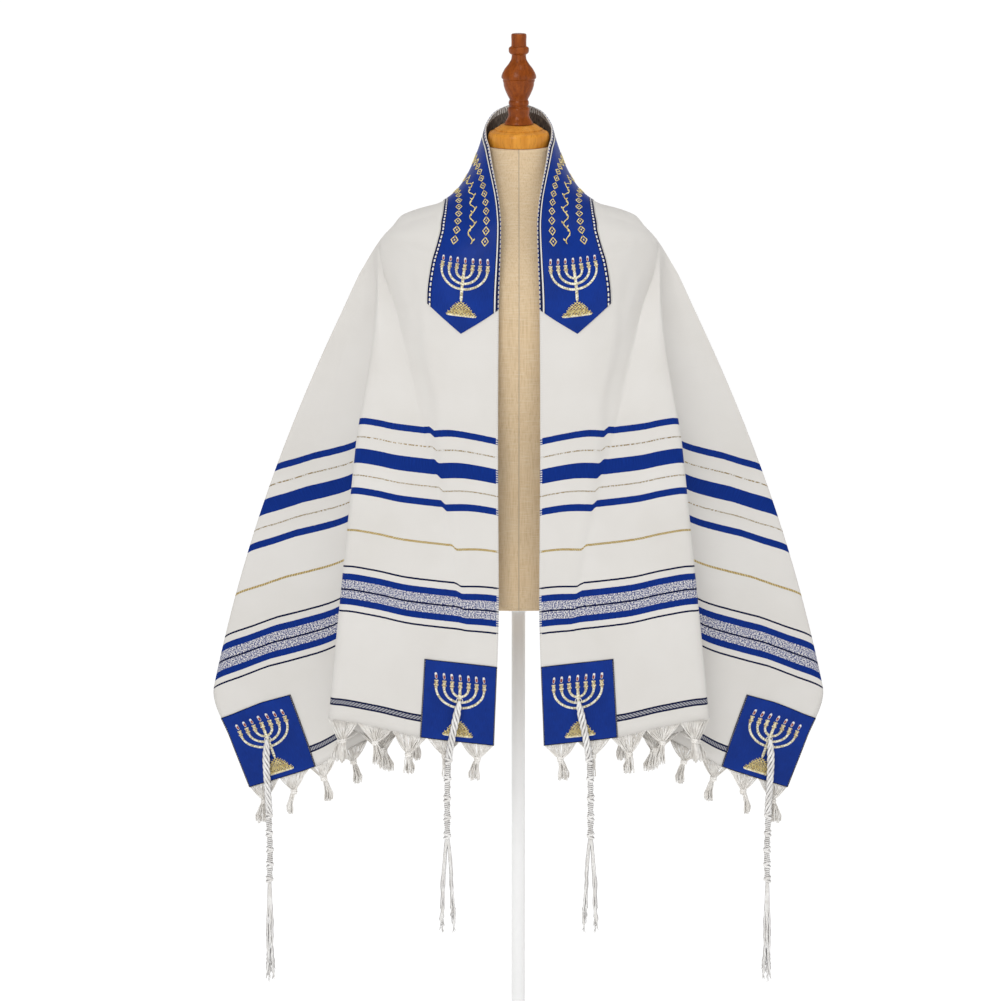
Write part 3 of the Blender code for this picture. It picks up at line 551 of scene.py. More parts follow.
def makeClothMaterial(name, reverse):
    material, tree = newMaterial(name)
    uv = onCloth(tree)
    along, across, _ = split(uv)
    edge = plus(along, times(calc("SUBTRACT", noise(uv, (40, 260, 1)), 0.5), 0.0006))
    threads = noise(uv, (900, 60, 1))
    colour = mix(ramp(noise(uv, 9.0, 3.0), 0.3, 0.7), colours["white"], colours["warmWhite"])
    colour = mix(times(threads, 0.10), colour, (0.55, 0.54, 0.53))
    fleck = noise(uv, (820, 560, 1), 1.0)
    speckled = mix(ramp(fleck, 0.49, 0.57), colours["speckle"], colours["white"])
    speckled = mix(ramp(fleck, 0.39, 0.46, 1.0, 0.0), speckled, colours["speckleDark"])
    warp = ramp(noise(uv, (50, 1400, 1)), 0.3, 0.7)
    goldBreak = ramp(noise(uv, (300, 520, 1), 1.0), 0.46, 0.60)
    twist = wave(times(along, 1500.0), times(across, 2100.0))
    cordTone = mix(ramp(twist, -0.4, 0.6), colours["goldDull"], colours["goldBright"])
    cordSpot = ramp(noise(uv, (200, 330, 1), 1.0), 0.44, 0.62, 0.0, 0.75)
    fret = ramp(wave(times(across, 1500.0), times(along, 1700.0)), -0.2, 0.6)
    tones = {
        "royal": mix(warp, colours["royalDark"], colours["royal"]),
        "speckle": speckled,
        "gold": mix(goldBreak, colours["goldDull"], colours["white"]),
        "cord": mix(cordSpot, cordTone, colours["gold"]),
        "fret": mix(fret, (0.34, 0.34, 0.37), (0.055, 0.060, 0.095)),
        "navy": colours["navy"],
    }
    masks = {"metal": [], "dyed": []}
    for low, high, key in stripes:
        mask = band(edge, low, high)
        colour = mix(mask, colour, tones[key])
        masks["metal" if key in ("gold", "cord") else "dyed"].append(mask)
    metal, dyed = either(*masks["metal"]), either(*masks["dyed"])
    # the stripes stop short of the selvedge, where their threads turn back as dashes
    selvedge = either(calc("LESS_THAN", across, weaveSpec["selvedge"]),
                      calc("GREATER_THAN", across, clothWidth - weaveSpec["selvedge"]))
    dash = calc("GREATER_THAN", wave(times(along, 2100.0)), 0.1)
    colour = mix(times(selvedge, dash), colour, colours["white"])
    # floats of the stripes are duller behind; behind the neckband the reverse is coloured dark grey-brown in
    # mottled patches, and light stitch bars run along its neck edge
    if reverse:
        # floats of the stripes are duller behind, and the neckband's seam and stitches show through
        colour = mix(times(dyed, 0.30), colour, (0.30, 0.32, 0.42))
        upper = calc("GREATER_THAN", along, weaveSpec["bandAlong"])
        behindBand = times(calc("LESS_THAN", across, weaveSpec["bandAcross"]), upper)
        stitch = noise(uv, (1500, 320, 1))
        seam = mix(ramp(stitch, 0.40, 0.62), (0.045, 0.038, 0.034), (0.21, 0.175, 0.145))
        colour = mix(behindBand, colour, seam)
        edging = times(calc("LESS_THAN", across, weaveSpec["edging"]), upper)
        bars = calc("GREATER_THAN", wave(times(along, 1900.0), times(stitch, 7.0)), 0.35)
        colour = mix(times(edging, bars), colour, (0.60, 0.58, 0.55))
    # plain weave: warp and weft ridges pass over each other like a fine chequer
    turn = 2 * math.pi / weaveSpec["pitch"]
    weave = times(wave(times(along, turn)), wave(times(across, turn)))
    height = plus(times(weave, 0.18), times(threads, 0.5), times(dyed, 1.1), times(metal, plus(twist, 2.4)))
    return finish(material, height, 0.00012, {
        "Base Color": colour,
        "Roughness": calc("SUBTRACT", ramp(dyed, 0.0, 1.0, 0.80, 0.52), times(metal, 0.40)),
        "Metallic": times(metal, 0.55), "Specular IOR Level": 0.05,
        "Sheen Weight": ramp(dyed, 0.0, 1.0, 0.08, 0.0), "Sheen Roughness": 0.5,
    })


def makeSatinMaterial(name, borders, length):
    # blue satin; borders are lines beside the long edges: from, to (mm), colour, dash pitch;
    # a length in mm, if given, puts a line across at either end
    material, tree = newMaterial(name)
    uv = onCloth(tree)
    along, across, _ = split(uv)
    floats = noise(uv, (120, 2600, 1))
    colour = mix(ramp(floats, 0.3, 0.7), colours["royalDark"], colours["royal"])
    colour = mix(ramp(noise(uv, 22.0, 3.0), 0.35, 0.7, 0.0, 0.35), colour, (0.004, 0.042, 0.34))
    raised = []
    for low, high, key, pitch in borders:
        mask = band(across, low, high)
        raised.append(mask)
        if pitch:
            ridge = wave(times(along, 2 * math.pi / pitch))
            mask = times(mask, calc("GREATER_THAN", ridge, -0.35))
        colour = mix(mask, colour, colours[key])
    for place in (0, length) if length else ():
        colour = mix(band(along, place - 0.9, place + 0.9), colour, colours["navy"])
    return finish(material, plus(floats, times(either(*raised), 1.6)), 0.00010, {
        "Base Color": colour, "Roughness": 0.40, "Specular IOR Level": 0.10,
        "Sheen Weight": 0.01, "Sheen Roughness": 0.35,
    })


def makeThreadMaterial(name, light, dark, rough, metallic, pitch, turns, fuzz, spots, sideShade):
    # twisted thread: UV runs round the thread and along it in metres; shade is painted into the grooves
    # between its plies, and by the last setting onto its sides
    material, tree = newMaterial(name)
    around, along, _ = split(onCloth(tree))
    ply = wave(times(around, 2 * math.pi * turns), times(along, 2 * math.pi / pitch))
    mottle = ramp(noise(inPiece(tree), spots), 0.38, 0.60)
    # painted shade: the ply wave darkens the colour in the grooves between plies; the mottle is random tone
    colour = mix(plus(times(ply, 0.25), mottle), dark, light)
    if sideShade:
        # painted shade: the thread's left and right sides, as seen from the front, are darkened
        side = calc("ABSOLUTE", calc("COSINE", times(around, 2 * math.pi)))
        colour = mix(ramp(side, 0.60, 0.98, 0.0, sideShade), colour, (0.22, 0.20, 0.21))
    return finish(material, ply, 0.00016, {
        "Base Color": colour, "Roughness": rough, "Metallic": metallic, "Sheen Weight": fuzz})


def makeLinenMaterial():
    material, tree = newMaterial("linenCover")
    place = inPiece(tree)
    warp, weft = noise(place, (900, 900, 40)), noise(place, (60, 60, 900))
    colour = mix(ramp(noise(place, 14.0, 3.0), 0.3, 0.7, 0.0, 0.6), colours["linen"], (0.64, 0.50, 0.33))
    colour = mix(ramp(warp, 0.46, 0.68, 0.0, 0.7), colour, colours["linenDark"])
    colour = mix(ramp(weft, 0.48, 0.70, 0.0, 0.5), colour, (0.72, 0.60, 0.43))
    out, back, _ = split(place)
    seam = band(out, -0.7, 0.7)
    colour = mix(times(seam, calc("LESS_THAN", back, 0.0), 0.45), colour, (0.30, 0.26, 0.22))
    return finish(material, calc("SUBTRACT", plus(warp, weft), times(seam, 2.0)), 0.00035, {
        "Base Color": colour, "Roughness": 0.86, "Specular IOR Level": 0.2, "Sheen Weight": 0.12})


def makeWoodMaterial(name, light, dark, grain, rough):
    # long streaks that bend a little, and fine pores in the dark colour's shade
    material, tree = newMaterial(name)
    place = inPiece(tree)
    bend = noise(place, (30, 30, 6), 3.0)
    streak = noise(place, (grain, grain, grain * 0.07), 5.0, 0.65)
    pore = noise(place, (grain * 7, grain * 7, grain * 0.5))
    colour = mix(ramp(plus(times(streak, 0.75), times(bend, 0.35)), 0.38, 0.72), dark, light)
    colour = mix(ramp(pore, 0.56, 0.70, 0.0, 0.45), colour, tuple(0.45 * c for c in dark))
    return finish(material, plus(streak, pore), 0.00020, {
        "Base Color": colour, "Roughness": ramp(streak, 0.3, 0.7, rough, rough + 0.14),
        "Specular IOR Level": 0.10, "Coat Weight": 0.12, "Coat Roughness": 0.10})


def makePaintMaterial():
    material, tree = newMaterial("whitePaint")
    place = inPiece(tree)
    dust = noise(place, 12.0, 4.0)
    colour = mix(ramp(dust, 0.45, 0.75, 0.0, 0.35), (0.86, 0.86, 0.855), (0.78, 0.775, 0.765))
    return finish(material, noise(place, 420.0), 0.00006, {
        "Base Color": colour, "Roughness": ramp(dust, 0.3, 0.7, 0.30, 0.42)})


clothMaterial = makeClothMaterial("stripedCloth", False)
reverseMaterial = makeClothMaterial("stripedClothReverse", True)
patchMaterial = makeSatinMaterial("patchSatin", [
    (0.0, 1.7, "navy", 0), (0.7, 1.0, "warmWhite", 0.0030),
    (93.3, 95.0, "navy", 0), (94.0, 94.3, "warmWhite", 0.0030),
], 100)
bandMaterial = makeSatinMaterial("bandSatin", [
    (0.0, 1.3, "warmWhite", 0.0060), (1.3, 4.4, "navy", 0), (4.2, 6.0, "white", 0), (6.0, 7.0, "navy", 0),
    (88.0, 89.4, "navy", 0), (89.2, 91.3, "white", 0.0062), (91.3, 93.8, "navy", 0), (93.8, 95.0, "white", 0),
], 0)
# Threads: light, dark (also the painted shade between plies), roughness, metallic, pitch, turns, fuzz, spots,
# and how much shade is painted on their sides
threadSpec = {
    "white": ((0.91, 0.885, 0.845), (0.76, 0.725, 0.675), 0.75, 0.0, 0.0018, 1, 0.2, 90, 0),
    "cord": ((0.90, 0.89, 0.87), (0.76, 0.74, 0.71), 0.75, 0.0, 0.0018, 1, 0.2, 90, 0.75),
    "gold": ((1.0, 0.85, 0.37), (0.52, 0.36, 0.08), 0.45, 0.05, 0.0016, 1, 0.0, 420, 0),
    "silver": ((0.91, 0.87, 0.70), (0.44, 0.38, 0.21), 0.42, 0.10, 0.0032, 1, 0.0, 380, 0),
    "cup": ((0.93, 0.85, 0.58), (0.40, 0.27, 0.10), 0.42, 0.10, 0.0016, 1, 0.0, 460, 0),
    "flame": ((0.42, 0.07, 0.05), (0.20, 0.03, 0.03), 0.55, 0.0, 0.0011, 0, 0.0, 400, 0),
}
threads = {key: makeThreadMaterial(f"{key}Thread", *values) for key, values in threadSpec.items()}
linenMaterial = makeLinenMaterial()
goldenWood = makeWoodMaterial("goldenWood", (0.74, 0.33, 0.045), (0.50, 0.18, 0.018), 90.0, 0.30)
redWood = makeWoodMaterial("redBrownWood", (0.33, 0.078, 0.008), (0.13, 0.024, 0.0025), 120.0, 0.28)
whitePaint = makePaintMaterial()
print("stage: materials made")


# The cloth

def edgeStops(name):
    # places along an edge, closer together beside its fold lines
    table = edges[name]
    folds = np.append(table[table[:, 7] == 1, 0], -9.0)
    stops = [0.0]
    while stops[-1] < table[-1, 0] - 1e-6:
        nearFold = np.min(np.abs(folds - stops[-1])) < clothSpec["foldNear"]
        stops.append(stops[-1] + clothSpec["foldStep" if nearFold else "edgeStep"])
    return np.array(stops) * table[-1, 0] / stops[-1]


def clothHalf():
    # rays from the shoulder point to the outline, cut by rings
    bottom, outer, back, neck = (edgeStops(name) for name in ("bottom", "outer", "back", "neck"))
    outline = np.vstack([
        flatLine(0.0, bottom), flatLine(outer[1:], clothWidth),
        flatLine(halfLength, back[-2::-1]), flatLine(neck[-2:0:-1], 0.0)])
    centre = np.array([shoulderU, shoulderV])
    shares = (np.arange(1, clothSpec["rings"] + 1) / clothSpec["rings"]) ** clothSpec["ringPower"]
    rings = centre + (outline - centre)[None] * shares[:, None, None]
    flat = np.vstack([centre[None], rings.reshape(-1, 2)])
    count = len(outline)
    first = np.arange(count)
    fan = np.column_stack([np.zeros(count, int), 1 + (first + 1) % count, 1 + first])
    return flat, [*fan, *gridFaces(len(shares), count, True, 1)]


def makeShawl():
    # the half and its mirror image share the points on the middle of the back
    flat, faces = clothHalf()
    half = clothPoint(flat[:, 0], flat[:, 1])
    onMiddle = flat[:, 0] > halfLength - 1e-7
    half[onMiddle, 0] = 0.0
    count = len(flat)
    other = np.arange(count) + count
    other[onMiddle] = np.flatnonzero(onMiddle)
    keep = np.concatenate([np.arange(count), np.flatnonzero(~onMiddle) + count])
    renumber = np.full(2 * count, -1)
    renumber[keep] = np.arange(len(keep))
    points, uv = np.vstack([onSide(half, "left"), half])[keep], np.vstack([flat, flat])[keep]
    faces += [renumber[other[face[::-1]]] for face in faces]
    shawl = addPiece("shawlCloth", points, faces, uv, [clothMaterial, reverseMaterial])
    front = shawl.data.vertices[int(points[:, 1].argmin())]
    if front.normal.y > 0:      # its outer face looks forwards at the front
        shawl.data.flip_normals()
        shawl.data.update()
    wall = shawl.modifiers.new("wall", "SOLIDIFY")
    wall.thickness = clothSpec["thickness"]
    wall.offset = 0.0
    wall.material_offset = 1      # the inner face shows the reverse of the weave
    return shawl


shawl = makeShawl()
print("stage: cloth draped,", len(shawl.data.polygons), "faces")

# Satin trims, laid on the cloth
trimSpec = {
    "gap": 0.0003, "wall": 0.0007, "step": 0.0030,
    "patchWidth": 0.095, "patchHeight": 0.100,
    "bandWidth": 0.095, "bandCorner": 0.555, "bandTip": 0.519, "bandColumns": 33,
}
trimLow = clothSpec["thickness"] / 2 + trimSpec["gap"]
trimTop = trimLow + trimSpec["wall"]
sides = ("left", "right")
patchLow = {"front": 0.0, "outer": clothWidth - trimSpec["patchWidth"]}      # across the cloth


def makePatch(key, side):
    wide, tall = trimSpec["patchWidth"], trimSpec["patchHeight"]
    across = np.linspace(0, wide, int(wide / trimSpec["step"]) + 2)
    along = np.linspace(0, tall, int(tall / trimSpec["step"]) + 2)
    s, t = np.meshgrid(across, along)
    u, v = t.ravel(), (s + patchLow[key]).ravel()
    base, face = clothPoint(u, v), clothNormal(u, v)
    points = onSide(np.vstack([base + face * trimTop, base + face * trimLow]), side)
    faces = plateFaces(*s.shape)[:, ::-1 if side == "left" else 1]
    uv = np.column_stack([u, (wide - s if key == "outer" else s).ravel()])
    return closedPiece(f"patchSatin_{key}_{side}", points, faces, np.vstack([uv, uv]), patchMaterial)


def makeBand():
    # straight sides and a pointed end; the grid's rows close up towards the middle of the back
    wide, tip = trimSpec["bandWidth"], trimSpec["bandTip"]
    columns = trimSpec["bandColumns"]
    across = np.linspace(0, wide, columns)
    start = tip + (trimSpec["bandCorner"] - tip) / (wide / 2) * np.abs(across - wide / 2)
    rows = int((halfLength - tip) / trimSpec["step"])
    share = np.linspace(0, 1, rows)[:, None]
    t = start[None, :] * (1 - share) + halfLength * share
    s = np.broadcast_to(across[None, :], t.shape)
    half, face = clothPoint(t.ravel(), s.ravel()), clothNormal(t.ravel(), s.ravel())
    half[-columns:, 0] = face[-columns:, 0] = 0.0      # the middle of the back
    face[-columns:] = unit(face[-columns:])
    points = []
    for lift in (trimTop, trimLow):
        layer = half + face * lift
        left = onSide(layer, "left").reshape(rows, columns, 3)
        points.append(np.concatenate([left, layer.reshape(rows, columns, 3)[-2::-1]]).reshape(-1, 3))
    uv = np.stack([t, s], -1)
    uv = np.concatenate([uv, uv[-2::-1]]).reshape(-1, 2)
    return closedPiece("neckbandSatin", np.vstack(points), plateFaces(2 * rows - 1, columns),
                       np.vstack([uv, uv]), bandMaterial)


neckband = makeBand()
patches = {(key, side): makePatch(key, side) for side in sides for key in patchLow}
print("stage: satin trims laid on")


def joinParts(name, side, parts, material, slots=None):
    # parts: (points, faces, uv) of the right side
    places, faces, uvs = [], [], []
    start = 0
    for place, part, uv in parts:
        places.append(place)
        faces += [[i + start for i in face] for face in part]
        uvs.append(uv)
        start += len(place)
    return closedPiece(name, onSide(np.vstack(places), side), faces, np.vstack(uvs), material, slots)


# Embroidery: closed oval threads that follow the satin
stitchSpec = {"sides": 8, "endSize": 0.55, "clear": 0.00002, "press": 0.00025}


def stitched(paths, halfWidth, height):
    # each path is flat points (u, v); the cross-section is an oval, halfWidth across and
    # height tall, whose lower half is pressed flat into the satin
    spots, lifts, faces, uv = [], [], [], []
    count = stitchSpec["sides"]
    theta = circle(count)
    rise = np.sin(theta) * np.where(np.sin(theta) > 0, height, stitchSpec["press"])
    for path in paths:
        path = np.asarray(path, float)
        ahead = unit(np.gradient(path, axis=0))
        across = np.column_stack([-ahead[:, 1], ahead[:, 0]])
        size = np.ones((len(path), 1))
        if len(path) > 3:
            size[[0, -1]] = stitchSpec["endSize"]
        faces += tubeFaces(len(path), count, count * sum(len(done) for done in lifts))
        spots.append(path[:, None] + across[:, None] * (np.cos(theta) * halfWidth * size)[:, :, None])
        lifts.append(trimTop + stitchSpec["clear"] + rise * size)
        length = np.concatenate([[0], np.cumsum(np.linalg.norm(np.diff(path, axis=0), axis=1))])
        uv.append(np.column_stack([np.tile(theta / (2 * np.pi), len(path)), np.repeat(length, count)]))
    u, v = np.vstack([spot.reshape(-1, 2) for spot in spots]).T
    u, v = np.clip(u, 0, halfLength), np.clip(v, 0, clothWidth)
    points = clothPoint(u, v) + clothNormal(u, v) * np.vstack(lifts).reshape(-1, 1)
    return points, faces, np.vstack(uv)


def sew(name, side, groups):
    # groups: (paths, thread, half width, height); one piece with a material for each group
    parts = [stitched(paths, halfWidth, height) for paths, _, halfWidth, height in groups]
    slots = np.repeat(np.arange(len(parts)), [len(part[1]) for part in parts])
    return joinParts(name, side, parts, [threads[group[1]] for group in groups], slots)


lampSpec = {
    "armTop": 0.0590, "stemFoot": 0.0185,
    "arms": [(0.0310, 0.0245), (0.0207, 0.0176), (0.0107, 0.0104)],      # half width, depth
    "cups": [0.0026, 0.0037, 0.0029, 0.0035], "cupEnd": 0.0008,      # half widths, and what they lose
    "cupDrop": 0.0010, "cupStep": 0.0026, "cupBend": 0.0006,
    "flame": 0.0078, "flameDrop": 0.0008, "flameLean": 0.0014,
    "glow": 0.62, "glowRise": 0.0006, "glowLean": 0.0008,
    "mound": fromMillimetres([      # height, half width
        (0, 19.2), (3.4, 19.0), (4.2, 14.8), (8.5, 13.2), (12.5, 10.2), (16.0, 6.0), (18.5, 2.2)]),
    "moundStep": 0.0019, "moundRagged": 0.03, "stitch": 0.0009, "zigzag": 0.00085, "hemDrop": 0.0006,
    "patchFoot": 0.0085, "bandFoot": 0.5445,
    "threads": [      # of the arms, stem, cups, mound, flames and their glow: half width, height
        ("silver", 0.00155, 0.0008), ("silver", 0.00200, 0.0009), ("cup", 0.00140, 0.0011),
        ("gold", 0.00075, 0.0009), ("white", 0.00165, 0.0006), ("flame", 0.00135, 0.0009)],
}


def menorah(footU, centreV):
    # three nested half-ovals and a stem, a stack of cups and a flame on each arm, and a mound
    spec = lampSpec
    arms, cups, rows, flames, glow = [], [], [], [], []
    top = footU + spec["armTop"]
    t = np.linspace(math.pi, 2 * math.pi, 34)
    for half, drop in spec["arms"]:
        arms.append(flatLine(top + drop * np.sin(t), centreV + half * np.cos(t)))
    stem = flatLine(np.linspace(footU + spec["stemFoot"], top, 12), centreV)
    for offset in [0.0, *(sign * half for half, _ in spec["arms"] for sign in (1, -1))]:
        place = centreV + offset
        t = np.linspace(-1, 1, 5)
        for cup, wide in enumerate(spec["cups"]):
            low = top + cup * spec["cupStep"] - spec["cupDrop"]
            bend = spec["cupBend"] * np.abs(t) ** 1.5
            cups.append(flatLine(low + bend, place + t * (wide - spec["cupEnd"])))
        low = top + len(spec["cups"]) * spec["cupStep"] - spec["flameDrop"]
        t = np.linspace(0, 1, 6)
        flames.append(flatLine(low + t * spec["flame"], place + spec["flameLean"] * t))
        low = low + spec["glowRise"]
        glow.append(flatLine(low + t * spec["flame"] * spec["glow"], place + spec["glowLean"] * t))
    mound = spec["mound"]
    for index, height in enumerate(np.arange(0, mound[-1, 0], spec["moundStep"])):
        wide = np.interp(height, *mound.T) * (1 + spec["moundRagged"] * (-1) ** index)
        count = max(5, int(wide / spec["stitch"]))
        zigzag = spec["zigzag"] * (-1.0) ** np.arange(count)
        rows.append(flatLine(footU + height + zigzag, centreV + np.linspace(-1, 1, count) * wide))
    arms.append(flatLine(footU - spec["hemDrop"], centreV + np.linspace(-1, 1, 14) * mound[0, 1]))
    groups = (arms, [stem], cups, rows, flames, glow)
    return [(paths, *thread) for paths, thread in zip(groups, spec["threads"])]


ornamentSpec = {
    "from": 0.644, "to": 0.908, "pitch": 0.0150, "columns": [0.024, 0.070],
    "halfLong": 0.0060, "halfWide": 0.0050, "dot": 0.0012,
    "vine": 0.0475, "vineSwing": 0.0042, "vinePitch": 0.0260, "vineStep": 0.0011,
    "leafLong": 0.0036, "leafWide": 0.0034,
    "threads": [("gold", 0.00085, 0.0007), ("gold", 0.00120, 0.0008)],      # of the lines, of the dots
}


def bandOrnament():
    # two chains of lozenges with a dot in each, and a leafy vine that waves between them
    spec = ornamentSpec
    lines, dots = [], []
    corners = np.array([(1, 0), (0, 1), (-1, 0), (0, -1), (1, 0)], float)
    lozenge = [a + (b - a) * t for a, b in zip(corners[:-1], corners[1:]) for t in (0.0, 0.33, 0.67)]
    lozenge = np.array([*lozenge, corners[-1]]) * (spec["halfLong"], spec["halfWide"])
    for place in spec["columns"]:
        for at in np.arange(spec["from"], spec["to"], spec["pitch"]):
            lines.append(lozenge + (at, place))
            dots.append(flatLine(at + spec["dot"] * np.arange(-1, 2), place))
    turn = 2 * np.pi / spec["vinePitch"]
    at = np.arange(spec["from"] - 0.004, spec["to"], spec["vineStep"])
    lines.append(flatLine(at, spec["vine"] + spec["vineSwing"] * np.sin(turn * at)))
    t = np.linspace(0, 1, 4)
    for index, here in enumerate(np.arange(spec["from"], spec["to"] - 0.006, spec["vinePitch"] / 4)):
        way = spec["leafWide"] if index % 2 else -spec["leafWide"]
        root = spec["vine"] + spec["vineSwing"] * math.sin(turn * here)
        dots.append(flatLine(here + spec["leafLong"] * t, root + way * t**0.7))
    return [(paths, *thread) for paths, thread in zip((lines, dots), spec["threads"])]


embroidery = {}
for side in sides:
    for key, low in patchLow.items():
        lamp = menorah(lampSpec["patchFoot"], low + trimSpec["patchWidth"] / 2)
        embroidery[key, side] = sew(f"menorah_{key}_{side}", side, lamp)
    lamp = menorah(lampSpec["bandFoot"], trimSpec["bandWidth"] / 2)
    embroidery["band", side] = sew(f"menorah_band_{side}", side, lamp + bandOrnament())
print("stage: embroidery sewn")


# Threads

def tubes(paths, radii, sides):
    # round threads along many paths at once; paths is threads x stops x 3. Each ring is square
    # to its path, and its first axis is square to a fixed direction close to straight back too
    paths = np.asarray(paths, float)
    count, stops, _ = paths.shape
    ahead = unit(np.gradient(paths, axis=1))
    level = unit(np.cross(ahead, np.array([0.13, 0.98, 0.12])))
    third = np.cross(ahead, level)
    theta = circle(sides)[:, None]
    radii = np.broadcast_to(np.asarray(radii, float), (count, stops))
    ring = level[:, :, None] * np.cos(theta) + third[:, :, None] * np.sin(theta)
    points = paths[:, :, None] + ring * radii[:, :, None, None]
    faces = [face for thread in range(count) for face in tubeFaces(stops, sides, thread * stops * sides)]
    steps = np.linalg.norm(np.diff(paths, axis=1), axis=2)
    run = np.concatenate([np.zeros((count, 1)), np.cumsum(steps, axis=1)], axis=1)
    uv = np.stack(np.broadcast_arrays(theta[:, 0] / (2 * np.pi), run[:, :, None]), -1)
    return points.reshape(-1, 3), faces, uv.reshape(-1, 2)


def ringPath(centre, angle, radius, up, flatten=1.0):
    # a round path about a centre or a line of centres: radius cos a, radius sin a, up
    return centre + np.column_stack([np.cos(angle) * radius, np.sin(angle) * radius * flatten, up])


fringeSpec = {
    "tassels": 13, "threads": 30, "threadRadius": 0.00078, "stops": 15, "seed": 11,
    "share": 0.97, "rowGap": 0.0009, "rise": 0.0010,      # where the threads leave the cloth
    "webDrop": 0.0215, "webVaries": (-0.003, 0.004), "bow": 0.0007, "sag": 0.0012,
    "knotOut": (-0.002, 0.002), "knotBack": (-0.002, 0.001), "bundle": (0.0011, 0.0010, 0.0),
    "knotRadius": 0.0031, "knotTop": 0.0030, "knotHeight": 0.0064, "knotThread": 0.0018,
    "tailDrop": 0.0265, "tailVaries": (0.85, 1.12), "endVaries": (-0.0035, 0.0025),
    "tailSpread": 0.0066, "spreadVaries": (0.55, 1.25), "tailFlat": 0.8, "lean": 0.0065, "curl": 0.0004,
}


def makeFringe(side):
    # each tassel gathers its stretch of warp ends to a knot and lets them fan out again:
    # a point runs straight from the cloth to the knot, bowed a little, then down and outwards
    spec = fringeSpec
    rng = np.random.default_rng(spec["seed"])
    pitch = clothWidth / spec["tassels"]
    count, half = spec["threads"], spec["stops"] // 2
    ends = np.zeros(count)
    parts = []
    for centre in pitch * (np.arange(spec["tassels"]) + 0.5):
        v = np.clip(centre + np.linspace(-0.5, 0.5, count) * pitch * spec["share"], 0, clothWidth)
        rows = (np.arange(count) % 2 - 0.5) * spec["rowGap"]      # the threads lie in two rows
        root = clothPoint(ends, v) + clothNormal(ends, v) * rows[:, None] + (0, 0, spec["rise"])
        drop = spec["webDrop"] + rng.uniform(*spec["webVaries"])
        aside = (rng.uniform(*spec["knotOut"]), rng.uniform(*spec["knotBack"]), -drop)
        knot = clothPoint(ends[:1], np.array([centre]))[0] + aside
        bundle = rng.normal(0, 1, (count, 3)) * spec["bundle"] + knot
        spread = rng.uniform(*spec["spreadVaries"])
        turn = rng.uniform(0, 2 * np.pi, count)
        radius = np.sqrt(rng.uniform(0.05, 1, count)) * spec["tailSpread"] * spread
        length = spec["tailDrop"] * rng.uniform(*spec["tailVaries"]) + rng.uniform(*spec["endVaries"], count)
        lean = rng.uniform(-1, 1) * spec["lean"]
        end = ringPath(bundle + (lean, 0, 0), turn, radius, -length, spec["tailFlat"])
        t = np.linspace(0, 1, half + 1)[None, :, None]
        bow = np.sin(np.pi * t) * rng.normal(0, spec["bow"], (count, 1, 3))
        web = root[:, None] * (1 - t) + bundle[:, None] * t + bow
        web[:, :, 2] -= np.sin(np.pi * t[:, :, 0]) * spec["sag"]
        # the tail is widest at 0.7 of its length and closes a little below
        s = np.linspace(0, 1, spec["stops"] - half)[None, 1:, None]
        widen = np.where(s < 0.7, (s / 0.7) ** 0.75 * 1.08, 1.08 - (s - 0.7) * 0.27)
        tail = bundle[:, None] + (end - bundle)[:, None] * np.concatenate([widen, widen, s], axis=2)
        tail = tail + np.sin(s * 9 + turn[:, None, None]) * (spec["curl"], spec["curl"], 0)
        parts.append(tubes(np.concatenate([web, tail], axis=1), spec["threadRadius"], 4))
        # the knot: two and a half turns of the same threads, bunched
        a = np.linspace(0, 5 * np.pi, 26)
        up = spec["knotTop"] - a / (5 * np.pi) * spec["knotHeight"]
        coil = ringPath(knot, a, spec["knotRadius"] * (0.75 + 0.25 * np.sin(a / 5)), up)
        parts.append(tubes(coil[None], spec["knotThread"], 6))
    return joinParts(f"fringeThreads_{side}", side, parts, threads["white"])


fringes = {side: makeFringe(side) for side in sides}
print("stage: fringe knotted")

# Corner tassels: a line gives below the hole, sideways and the bundle's radius
tzitzitSpec = {
    "holeU": 0.052, "clearance": 0.0035, "standOff": 0.0003, "spacing": 0.0012, "seed": 5,
    "plies": 4, "plyRadius": 0.0019, "plySwing": 0.0007, "pitch": 0.034, "heart": 0.30,
    "plyOpens": 0.012, "plyFrom": 0.3,      # how soon the plies part, and how far apart they start
    "coreRadius": 0.0024, "windRadius": 0.0012, "windOut": 0.0029, "windPitch": 0.0026,
    "windStep": 0.00022, "windUneven": [(0.0004, 520), (0.0002, 1310)],
    "knotOut": 0.0034, "knotThread": 0.0019, "knotGap": 0.0018, "knotTilt": 0.35,
    "strands": 8, "strandRadius": 0.00125, "strandGap": 0.0024, "shorter": 0.0045,
    "sways": [(0.0012, (6, 11)), (0.0006, (24, 38))],      # size, and how many radians
    "endKnot": (0.93, 0.022, 0.9),      # place on the strand, length, and how much thicker
    "hairs": 4, "hairLength": 0.011, "hairVaries": (0.6, 1.1), "hairRadii": (0.00055, 0.00030),
    "hairOut": 0.0030, "hairBack": 0.0020, "hairBend": 0.0010,
    "eyelet": 0.0040, "eyeletThread": 0.0006,
    "front": {
        "seedShift": 0, "strand": 0.122, "apart": 0.0088, "knots": [0.077, 0.101, 0.127, 0.152, 0.176],
        "line": fromMillimetres([(0, 0, 2.8), (20, 4, 4.0), (50, 10, 3.6), (77, 14, 3.6), (90, 15, 3.6),
                                 (130, 16, 3.6), (178, 16, 3.6)]),
    },
    "outer": {
        "seedShift": 1, "strand": 0.132, "apart": 0.0034, "knots": [0.100, 0.124, 0.146, 0.166, 0.186],
        "line": fromMillimetres([(0, 0, 2.8), (25, 0, 4.0), (60, -1, 3.6), (100, -3, 3.6), (113, -3, 3.6),
                                 (146, -4, 3.6), (188, -3, 3.6)]),
    },
}


